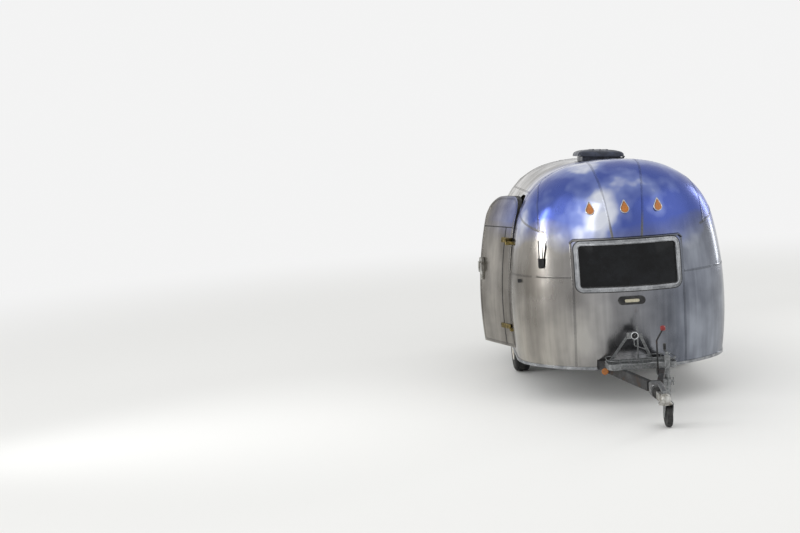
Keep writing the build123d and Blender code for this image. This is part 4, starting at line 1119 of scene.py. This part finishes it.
def doorTrimPieces():
    form = doorTrim
    strips, joints, rivets = (bmesh.new() for _ in range(3))
    edge = form["edgeInset"]
    ring = [onDoor(y, z) for y, z in evenRing(doorOutline(-edge))]
    layStrip(strips, ring, flatProfile(*form["edgeStrip"]), True)
    layRivets(rivets, ring, form["rivetPitch"], (0.0,), seams["rivetRadius"], True,
              form["edgeStrip"][1])
    front = shell["frontY"] + openings["doorFront"]
    height = form["crossHeight"]
    across = evenSteps(front + edge, front + openings["doorWidth"] - edge, 20)
    layStrip(joints, [wallPoint(-1, y, height) for y in across], flatProfile(*form["joint"]))
    down = evenSteps(form["stileFoot"], height, 40)
    layStrip(joints, [wallPoint(-1, front + form["stileFromHinge"], z) for z in down],
             flatProfile(*form["joint"]))
    for name, bm, look, slot in (("doorEdgeStrip", strips, "strip", "shell_aluminium"),
                                 ("doorJointLines", joints, "sealRubber", "solid_rubber"),
                                 ("doorRivets", rivets, "strip", "shell_aluminium")):
        bmesh.ops.transform(bm, matrix=doorTurn(), verts=bm.verts)
        smoothPiece(name, bm, "door", look, slot, 40)
    print("door trim laid")


doorTrimPieces()


def axisAt(axis, origin, way=1):
    # places for a lathe whose axis is 0, 1 or 2 for X, Y or Z
    across, up = [i for i in range(3) if i != axis]

    def place(along, radius, angle):
        point = Vector(origin)
        point[axis] += way * along
        point[across] += radius * cos(angle)
        point[up] += radius * sin(angle)
        return point
    return place


def hexHead(bm, place, direction, across, thick):
    # a hexagonal nut or bolt head that faces in this direction, with bevelled corners
    turn = Vector(direction).to_track_quat("Z", "Y").to_matrix()
    radius = across / sqrt(3)
    rings = [[bm.verts.new(Vector(place) + turn @ Vector((radius * share * cos(pi * k / 3),
                                                          radius * share * sin(pi * k / 3), rise)))
              for k in range(6)] for share, rise in ((1.0, 0.0), (1.0, thick * 0.8), (0.84, thick))]
    for low, high in zip(rings, rings[1:]):
        joinRings(bm, low, high)
    bm.faces.new(rings[-1])
    bm.faces.new(rings[0][::-1])


# Road wheels: grooved tyres, pressed steel discs with slots, wheel nuts and a domed hub cap.
# Profiles give (outward from the wheel's middle, radius) in metres.
wheelForm = {
    "centre": (0.930, 3.540, -0.070),
    "tyreHalf": [(0.070, 0.1910), (0.079, 0.1925), (0.084, 0.2000), (0.089, 0.2065),
                 (0.0905, 0.2250), (0.0935, 0.2450), (0.0950, 0.2520), (0.0935, 0.2580),
                 (0.0925, 0.2750), (0.0880, 0.2940), (0.0800, 0.3090), (0.0710, 0.3180)],
    "treadHalf": [(0.0630, 0.3245), (0.0455, 0.3275), (0.0440, 0.3195), (0.0370, 0.3195),
                  (0.0355, 0.3283), (0.0195, 0.3293), (0.0180, 0.3205), (0.0110, 0.3205),
                  (0.0095, 0.3298)],
    "tyreSteps": 168,
    "sipeDepth": 0.0055,
    "ribRadius": 0.325,         # tread rows outside this radius are on a rib
    "rim": [(-0.135, 0.0204), (0.030, 0.0204), (0.040, 0.0240), (0.0400, 0.0400),
            (0.0370, 0.0480), (0.0250, 0.0740), (0.0220, 0.0840), (0.0220, 0.1240),
            (0.0185, 0.1400), (0.0110, 0.1520), (0.0080, 0.1600), (0.0820, 0.1645),
            (0.0860, 0.1700), (0.0870, 0.1900), (0.0900, 0.1990), (0.0860, 0.2000),
            (0.0800, 0.1890), (0.0740, 0.1880), (0.0280, 0.1680), (-0.0280, 0.1680),
            (-0.0740, 0.1880), (-0.0800, 0.1890), (-0.0860, 0.2000), (-0.0900, 0.1990),
            (-0.0860, 0.1640), (-0.0080, 0.1600), (-0.0100, 0.1320), (-0.0850, 0.1300),
            (-0.0850, 0.0600), (-0.1350, 0.0600)],
    "rimSteps": 72,
    "slots": (8, 0.1400, 0.034, 0.015, 0.007),  # how many, radius of their middle, size, corner
    "slotCut": (-0.004, 0.060),
    "cap": [(0.0360, 0.0385), (0.0480, 0.0375), (0.0530, 0.0330), (0.0600, 0.0200), (0.0630, 0.0)],
    "nuts": (5, 0.0620, 0.3, 0.019, 0.020),     # how many, pitch radius, turn, across flats, height
    "nutSeat": 0.0285,
}


def wheelSpot(side):
    cx, cy, cz = wheelForm["centre"]
    return axisAt(0, (side * cx, cy, cz), side)


def tyreBmesh(side):
    # the third value of a profile point is 1 on the outer ribs of the tread and 2 on those inside
    form, place = wheelForm, wheelSpot(side)
    outer = [(a, r, 0) for a, r in form["tyreHalf"]]
    outer += [(a, r, 1 + (i > 1)) for i, (a, r) in enumerate(form["treadHalf"])]
    profile = outer + [(-a, r, kind) for a, r, kind in reversed(outer)]
    bm = bmesh.new()
    rows = []
    for k in range(form["tyreSteps"]):
        row = []
        for a, r, kind in profile:
            # shoulder and middle ribs are cut across in turn, so that the tread shows blocks
            cut = kind == 1 and k % 4 == 0 or kind == 2 and r > form["ribRadius"] and k % 4 == 2
            row.append(bm.verts.new(place(a, r - (form["sipeDepth"] if cut else 0.0),
                                          2 * pi * k / form["tyreSteps"])))
        rows.append(row)
    for k, row in enumerate(rows):
        joinRings(bm, row, rows[(k + 1) % len(rows)])
    return bm


def rimMesh(side, name):
    form, place = wheelForm, wheelSpot(side)
    body, slots = bmesh.new(), bmesh.new()
    lathe(body, form["rim"], form["rimSteps"], place, closed=True)
    count, radius, length, width, corner = form["slots"]
    outline = roundedOutline(length, width, corner, 5)
    for k in range(count):
        angle = 2 * pi * (k + 0.5) / count
        prism(slots, outline, lambda u, v, d: place(
            form["slotCut"][d], hypot(radius + v, u), angle + atan2(u, radius + v)))
    return booleaned(name, body, slots, "DIFFERENCE")


def wheelPieces():
    for name, side in (("kerb", -1), ("street", 1)):
        body, place = name + "_wheel", wheelSpot(side)
        smoothPiece(name + "Tyre", tyreBmesh(side), body, "tyre_rubber", "tyre_rubber", 24,
                    name + "_tyre")
        smoothPiece(name + "Rim", rimMesh(side, name + "Rim"), body, "wheel_steel", "wheel_steel", 28,
                    name + "_rim")
        cap, nuts = bmesh.new(), bmesh.new()
        lathe(cap, wheelForm["cap"], 48, place)
        count, radius, first, across, thick = wheelForm["nuts"]
        for k in range(count):
            spot = place(wheelForm["nutSeat"], radius, 2 * pi * k / count + first)
            hexHead(nuts, spot, (side, 0, 0), across, thick)
        smoothPiece(name + "HubCap", cap, body, "chrome", "coupler_steel", 30)
        smoothPiece(name + "WheelNuts", nuts, body, "chrome", "coupler_steel", 30)
    print("wheels made")


wheelPieces()

# Roof vent lid: one moulded shell with a crowned top, ears at its hinge and three low ribs
ventForm = {
    "middleY": 3.080,
    "low": 2.026,
    "pinX": 0.264,
    "ajar": 4.0,
    # half width and height of the mould's outside, from its rim up
    "outside": [(0.2500, 0.000), (0.2490, 0.020), (0.2450, 0.034), (0.2330, 0.047), (0.2080, 0.059),
                (0.1700, 0.068), (0.1200, 0.074), (0.0600, 0.077)],
    "wall": 0.004,
    "corner": 0.040,
    "ears": (-0.099, 0.141),        # where each hinge's ear starts, along Y
    "ear": (0.020, 0.009, 0.018),   # length, radius, reach to the lid's wall
    "pin": (0.037, 0.003),          # length beside the ear, radius
    "ribs": (-0.075, 0.0, 0.075),
    "rib": [(-0.010, 0.0715), (-0.006, 0.0795), (0.006, 0.0795), (0.010, 0.0715)],
    "ribHalf": 0.15,
}


def ventLidPiece():
    form = ventForm
    middleY, base, pinX = form["middleY"], form["low"], form["pinX"]
    bm = bmesh.new()
    inside = [(half - form["wall"], max(rise - form["wall"], 0.0)) for half, rise in form["outside"]]
    rings = [[bm.verts.new((u, v + middleY, base + rise))
              for u, v in roundedOutline(2 * half, 2 * half, min(form["corner"], half * 0.5), 7)]
             for half, rise in form["outside"] + inside[::-1]]
    crown = len(form["outside"]) - 1
    for i, ring in enumerate(rings):        # from the rim up, down the inside and back to the rim
        if i != crown:
            joinRings(bm, ring, rings[(i + 1) % len(rings)])
    bm.faces.new(rings[crown])
    bm.faces.new(rings[crown + 1][::-1])
    length, radius, reach = form["ear"]
    pinLength, pinRadius = form["pin"]
    for start in form["ears"]:
        place = axisAt(1, (pinX, middleY + start, base))
        lathe(bm, [(0.0, 0.0), (0.0, radius), (length, radius), (length, 0.0)], 20, place)
        lathe(bm, [(-pinLength, 0.0), (-pinLength, pinRadius), (0.0, pinRadius), (0.0, 0.0)], 12,
              place)
        prism(bm, [(pinX - reach, 0.0), (pinX, 0.0), (pinX, radius), (pinX - reach, radius)],
              lambda u, v, d: (u, middleY + start + length * d, base + v))
    for x in form["ribs"]:
        prism(bm, [(x + u, v) for u, v in form["rib"]],
              lambda u, v, d: (u, middleY + (2 * d - 1) * form["ribHalf"], base + v))
    turn = (Matrix.Translation((pinX, middleY, base)) @ Matrix.Rotation(radians(form["ajar"]), 4, "Y")
            @ Matrix.Translation((-pinX, -middleY, -base)))
    bmesh.ops.transform(bm, matrix=turn, verts=bm.verts)
    smoothPiece("ventLidShell", bm, "vent_lid", "vent_plastic", "vent_plastic", 32, "vent_lid")
    print("vent lid made")


ventLidPiece()

# Small hardware on the drawbar: dial of the regulator, nuts and bolts, ring beads in the gas tray.
# Bolts are (across flats, height); turned pieces give (along the axis, radius).
hardware = {
    "frameY": 1.220,
    "dial": (-0.024, 1.166, 0.355),         # middle of the dial's face
    "dialRing": (0.0325, 0.0055, 0.001),    # radius, radius of its wire, behind the face
    "dialFace": [(-0.0135, 0.0265), (-0.0100, 0.0255), (-0.0098, 0.0)],
    "needle": [(-0.0012, -0.004), (0.0012, -0.004), (0.0006, 0.020), (-0.0006, 0.020)],
    "needleAim": ((0.8, 0.5), (-0.5, 0.85)),    # across and up on the dial for both of its axes
    "needleLift": (0.0090, 0.0070),
    "rodX": 0.012,
    "rodNuts": (0.372, 0.330),
    "rodNut": (0.026, 0.013),
    "thread": (0.388, 0.0024, 26),          # start, pitch, turns; drawn coarser than M16 to show
    "threadTurn": [(0.0, 0.0080), (0.0006, 0.0086), (0.0012, 0.0086), (0.0018, 0.0080)],
    "strutBolts": [(-0.277, 0.094), (0.145, 0.094), (-0.074, 0.345), (0.036, 0.345)],
    "strutBolt": (0.017, 0.008),
    "strutFace": 1.218,
    "housingBolts": [(-0.038, -0.018), (0.038, -0.018), (-0.038, 0.058), (0.038, 0.058)],
    "housingBolt": (0.016, 0.008),
    "housingY": 0.290,
    "trayRings": (-0.150, 0.150),
    "trayRingRadius": 0.110,
    "trayBead": [(-0.001, 0.010), (0.008, 0.006), (0.010, 0.0), (0.008, -0.006), (-0.001, -0.010)],
    "trayFloor": 0.0855,
    "trayY": 1.060,
    "traySize": (0.636, 0.256, 0.058),      # length, width and corner of the tray's wall
    "traySpacing": 0.030,
    "trayTop": 0.1305,
    "rimRadius": 0.0045,
    "basketRise": 0.036,
    "wireRadius": 0.0034,
    "basketPosts": [(-0.22, -0.128), (0.0, -0.128), (0.22, -0.128), (-0.22, 0.128), (0.0, 0.128),
                    (0.22, 0.128), (-0.318, 0.0), (0.318, 0.0)],
}


def layTube(bm, points, radius, steps=8):
    # a closed level loop of round wire
    upward = Vector((0.0, 0.0, 1.0))
    rows = []
    for i, point in enumerate(points):
        side = (points[(i + 1) % len(points)] - points[i - 1]).normalized().cross(upward)
        rows.append([bm.verts.new(point + radius * (side * cos(2 * pi * k / steps)
                                                    + upward * sin(2 * pi * k / steps)))
                     for k in range(steps)])
    for i, row in enumerate(rows):
        joinRings(bm, row, rows[(i + 1) % len(rows)])


def trayEdges(bm):
    # the tray's rolled edge, and a wire rail on short posts above it
    form = hardware
    outline = evenRing(roundedOutline(*form["traySize"]), form["traySpacing"])
    low, high, wire = form["trayTop"], form["trayTop"] + form["basketRise"], form["wireRadius"]
    for level, radius in ((low, form["rimRadius"]), (high, wire)):
        layTube(bm, [Vector((u, v + form["trayY"], level)) for u, v in outline], radius)
    for x, y in form["basketPosts"]:
        lathe(bm, [(low, wire), (high, wire)], 10, axisAt(2, (x, y + form["trayY"], 0.0)))


def drawbarHardware():
    form = hardware
    bright, dark, zinc = (bmesh.new() for _ in range(3))
    x, y, z = form["dial"]
    spot = axisAt(1, form["dial"], -1)
    ring, tube, sunk = form["dialRing"]
    lathe(bright, [(tube * sin(a) + sunk, ring + tube * cos(a))
                   for a in evenSteps(0.0, 2 * pi, 10)[:-1]], 40, spot, closed=True)
    lathe(dark, form["dialFace"], 32, spot)
    across, up = (Vector(aim) for aim in form["needleAim"])
    prism(bright, form["needle"], lambda u, v, d: (
        x + across.dot((u, v)), y + form["needleLift"][d], z + up.dot((u, v))))
    for level in form["rodNuts"]:
        hexHead(zinc, (form["rodX"], form["frameY"], level), (0, 0, 1), *form["rodNut"])
    start, pitch, turns = form["thread"]
    for i in range(turns):
        low = (form["rodX"], form["frameY"], start + pitch * i)
        lathe(zinc, form["threadTurn"], 20, axisAt(2, low))
    for bx, bz in form["strutBolts"]:
        hexHead(zinc, (bx, form["strutFace"], bz), (0, -1, 0), *form["strutBolt"])
    for bx, bz in form["housingBolts"]:
        hexHead(bright, (bx, form["housingY"], bz), (0, -1, 0), *form["housingBolt"])
    trayEdges(zinc)
    bead = [(along, form["trayRingRadius"] + out) for along, out in form["trayBead"]]
    for bx in form["trayRings"]:
        lathe(zinc, bead, 56, axisAt(2, (bx, form["trayY"], form["trayFloor"])))
    for name, bm, look, slot in (("dialRingAndBolts", bright, "chrome", "coupler_steel"),
                                 ("dialFace", dark, "sealRubber", "dark_casting"),
                                 ("drawbarFixings", zinc, "galvanised_steel", "galvanised_steel")):
        smoothPiece(name, bm, "caravan", look, slot, 34)
    print("drawbar hardware made")


drawbarHardware()

# Small fittings: trims round the wheel openings and tail lamps, the plate's frame and screws,
# the keyhole in the door handle's plate, and the jockey wheel's grip and clamp screw
fittings = {
    "archMargin": 0.014,
    "archTrim": (0.024, 0.0024),
    "archFoot": 0.418,                          # above the ground, over the skirt's rail
    "archRivetPitch": 0.050,
    "archSpacing": 0.020,
    "tailLamp": (0.640, 0.850, 0.074),          # from the centre line, height, radius of the ring
    "tailRing": (0.013, 0.013),
    "plate": (0.760, 0.320, 0.160, 0.014),      # height, width, tall, depth behind the skin
    # margin outside the plate and rise above its face
    "plateFrame": [(0.004, -0.006), (0.004, 0.0018), (0.001, 0.0030), (-0.006, 0.0024),
                   (-0.007, -0.001)],
    "plateCorner": 0.012,
    "plateScrews": (0.115, 0.058),
    "plateScrew": [(-0.001, 0.0055), (0.0010, 0.0052), (0.0024, 0.0034), (0.0028, 0.0)],
    "keyhole": (1.602, -1.108, 1.205),          # distance, face of the handle's plate, height
    "keyRing": [(-0.001, 0.0110), (0.0018, 0.0105), (0.0024, 0.0090), (0.0022, 0.0)],
    "keySlot": (0.0030, 0.0100, 0.0012),        # width, height, corner
    "keySlotRise": (0.0016, 0.0030),
    "jockeyY": 0.580,
    "jockeyOut": 0.062,                         # from the drawbar's rail to the jockey's stem
    "gripLevels": (0.304, 0.361),
    "gripFoot": [(0.0, 0.0), (0.0, 0.0120), (0.002, 0.0136)],
    "gripRib": [(0.0, 0.0136), (0.0015, 0.0127), (0.0035, 0.0127), (0.005, 0.0136)],
    "gripRibs": (0.006, 0.008, 6),              # where the first finger rib starts, pitch, how many
    "gripHead": [(-0.002, 0.0134), (0.0, 0.0112), (0.0, 0.0)],
    "gripThrow": 0.088,
    "clampLevel": 0.030,
    "clampReach": (0.0300, 0.0560),
    "clampHead": [(0.0, 0.0), (0.0, 0.0105), (0.008, 0.0105), (0.009, 0.0070)],
    "barHalf": [(-0.036, 0.0), (-0.036, 0.0048), (-0.033, 0.0058), (-0.028, 0.0040)],
    "barInset": 0.007,
    "latchPin": (0.034, 0.0620),                # along Y, height
    "pinHead": [(0.0140, 0.0078), (0.0175, 0.0078), (0.0190, 0.0060), (0.0192, 0.0)],
}


def archLine(side):
    distance, half, top, corner = openings["arch"]
    margin, foot = fittings["archMargin"], fittings["archFoot"]
    half, top, corner = half + margin, top + margin, corner + margin
    outline = [(half, foot)]
    for begin, centre in ((0.0, half - corner), (pi / 2, corner - half)):
        outline += [(centre + corner * cos(a), top - corner + corner * sin(a))
                    for a in evenSteps(begin, begin + pi / 2, 12)]
    outline.append((-half, foot))
    y = shell["frontY"] + distance
    even = smoothPath([Vector((u, v, 0.0)) for u, v in outline], fittings["archSpacing"])
    return [wallPoint(side, y + p.x, p.y) for p in even][::side]


def plateFrame(bm):
    height, width, tall, depth = fittings["plate"]
    face = shell["frontY"] + shell["length"] - endInsetAt(height) + depth
    level = height - shell["ballHeight"]
    loops = []
    for margin, rise in fittings["plateFrame"]:
        outline = roundedOutline(width + 2 * margin, tall + 2 * margin,
                                 fittings["plateCorner"] + margin, 6)
        loops.append([bm.verts.new((u, face + rise, level + v)) for u, v in outline])
    for low, high in zip(loops, loops[1:]):
        joinRings(bm, low, high)
    across, up = fittings["plateScrews"]
    for x in (-across, across):
        for z in (level - up, level + up):
            lathe(bm, fittings["plateScrew"], 16, axisAt(1, (x, face, z)))


def shellFittings():
    form = fittings
    strips, rivets, rings = (bmesh.new() for _ in range(3))
    out, height, radius = form["tailLamp"]
    for side in (-1, 1):
        line = archLine(side)
        layStrip(strips, line, flatProfile(*form["archTrim"]))
        layRivets(rivets, line, form["archRivetPitch"], (0.0,), seams["rivetRadius"],
                  lift=form["archTrim"][1])
        ring = [endPoint(side * out + radius * cos(a), height + radius * sin(a), True)
                for a in evenSteps(0.0, 2 * pi, 48)[:-1]]
        layStrip(rings, ring, flatProfile(*form["tailRing"]), True)
    plateFrame(rings)
    for name, bm, look, slot in (("archTrims", strips, "brightTrim", "trim_aluminium"),
                                 ("archRivets", rivets, "strip", "shell_aluminium"),
                                 ("lampAndPlateFrames", rings, "chrome", "trim_aluminium")):
        smoothPiece(name, bm, "caravan", look, slot, 34)


def keyholePieces():
    distance, face, height = fittings["keyhole"]
    y, level = shell["frontY"] + distance, height - shell["ballHeight"]
    bright, dark = bmesh.new(), bmesh.new()
    lathe(bright, fittings["keyRing"], 28, axisAt(0, (face, y, level), -1))
    prism(dark, roundedOutline(*fittings["keySlot"], 3),
          lambda u, v, d: (face - fittings["keySlotRise"][d], y + u, level + v))
    for name, bm, look, slot in (("keyholeRing", bright, "chrome", "cast_zinc"),
                                 ("keySlot", dark, "cutEdge", "dark_casting")):
        bmesh.ops.transform(bm, matrix=doorTurn(), verts=bm.verts)
        smoothPiece(name, bm, "door", look, slot, 34)


def jockeyFittings():
    form = fittings
    x, y = drawbarX(form["jockeyY"]) + form["jockeyOut"], form["jockeyY"]
    grip, zinc = bmesh.new(), bmesh.new()
    low, high = form["gripLevels"]
    first, pitch, count = form["gripRibs"]
    profile = [(low + along, radius) for along, radius in form["gripFoot"]]
    profile += [(low + first + pitch * i + along, radius)
                for i in range(count) for along, radius in form["gripRib"]]
    profile += [(high + along, radius) for along, radius in form["gripHead"]]
    lathe(grip, profile, 28, axisAt(2, (x, y + form["gripThrow"], 0.0)))
    level = form["clampLevel"]
    near, far = form["clampReach"]
    screw = [(near + along, radius) for along, radius in form["clampHead"]]
    screw += [(far, screw[-1][1]), (far, 0.0)]
    lathe(zinc, screw, 24, axisAt(0, (x, y, level)))
    bar = form["barHalf"] + [(-along, radius) for along, radius in form["barHalf"][::-1]]
    lathe(zinc, bar, 18, axisAt(2, (x + far - form["barInset"], y, level)))
    for side in (-1, 1):
        lathe(zinc, form["pinHead"], 24, axisAt(0, (0.0, *form["latchPin"]), side))
    smoothPiece("crankGrip", grip, "caravan", "solid_rubber", "solid_rubber", 34)
    smoothPiece("clampScrewAndPin", zinc, "caravan", "galvanised_steel", "galvanised_steel", 34)


shellFittings()
keyholePieces()
jockeyFittings()
print("small fittings made")

# Nodes that stay as the solids are, with the material of their slot
slots = {part["node"]: part["material_slot"] for part in frame["record"]["subparts"]}
for name, node in frame["nodes"].items():
    if slots.get(name) in looks:
        node.data.materials.clear()
        node.data.materials.append(looks[slots[name]])

# Floor, light and background: a pale studio whose floor fades into the background far away
studio = {
    "groundZ": -0.400,
    "floorReach": 90.0,
    "floorColour": "EDEDEB",
    "floorFinish": {"Roughness": 0.9, "Specular IOR Level": 0.1},
    "background": 0.90,
    "fadeFrom": 7.0,        # metres from the caravan's middle
    "fadeTo": 17.0,
    "aim": (0.0, -1.0, 0.6),        # from the caravan's middle
    "lamps": {
        # name: place, width and height in metres, watts, spread; the two strips stand beside the
        # caravan and draw the upright highlights on its rounded corners
        "keyLight": ((-7.0, -5.0, 8.5), (9.0, 9.0), 210.0, 180.0),
        "fillLight": ((8.0, -3.0, 7.0), (8.0, 8.0), 90.0, 180.0),
        "kerbStrip": ((-7.0, 0.6, 2.9), (0.9, 5.0), 26.0, 70.0),
        "streetStrip": ((7.5, 7.0, 2.9), (1.2, 5.0), 24.0, 70.0),
    },
}


def studioFloor(settings):
    reach, ground = settings["floorReach"], settings["groundZ"]
    mesh = bpy.data.meshes.new("studioFloor")
    corners = ((-1, -1), (1, -1), (1, 1), (-1, 1))
    mesh.from_pydata([(x * reach, y * reach, ground) for x, y in corners], [], [(0, 1, 2, 3)])
    # painted board, matt; far off it gives way to the background's own white
    material, tree, shader = newMaterial("paleFloor")
    shader.inputs["Base Color"].default_value = linear(settings["floorColour"])
    for socket, value in settings["floorFinish"].items():
        shader.inputs[socket].default_value = value
    coords = addNode(tree, "ShaderNodeTexCoord")
    shifted = addNode(tree, "ShaderNodeVectorMath", {"operation": "SUBTRACT", 1: (0.0, midY, ground)},
                      {0: coords.outputs["Object"]})
    far = addNode(tree, "ShaderNodeVectorMath", {"operation": "LENGTH"}, {0: shifted})
    fade = addNode(tree, "ShaderNodeMapRange",
                   {"interpolation_type": "SMOOTHSTEP", "From Min": settings["fadeFrom"],
                    "From Max": settings["fadeTo"]}, {"Value": far.outputs["Value"]})
    glow = addNode(tree, "ShaderNodeEmission", {"Strength": settings["background"]})
    both = addNode(tree, "ShaderNodeMixShader", (), {0: fade, 1: shader, 2: glow})
    tree.links.new(both.outputs["Shader"], tree.nodes["Material Output"].inputs["Surface"])
    mesh.materials.append(material)
    toObject("studioFloor", mesh)


def makeStudio(settings):
    studioFloor(settings)
    target = Vector(settings["aim"]) + Vector((0.0, midY, 0.0))
    for name, (place, sizes, watts, spread) in settings["lamps"].items():
        data = bpy.data.lights.new(name, "AREA")
        data.shape = "RECTANGLE"
        data.size, data.size_y = sizes
        data.energy = watts
        data.spread = radians(spread)
        lamp = bpy.data.objects.new(name, data)
        lamp.visible_camera = False
        bpy.context.scene.collection.objects.link(lamp)
        turn = (target - Vector(place)).to_track_quat("-Z", "Y").to_matrix().to_4x4()
        lamp.matrix_world = Matrix.Translation(place) @ turn
    world = bpy.data.worlds.new("studioWorld")
    bpy.context.scene.world = world
    world.use_nodes = True
    background = world.node_tree.nodes["Background"]
    background.inputs["Color"].default_value = (1.0, 1.0, 1.0, 1.0)
    background.inputs["Strength"].default_value = settings["background"]


makeStudio(studio)
print("studio lit")

bpy.context.scene.view_settings.view_transform = "Standard"
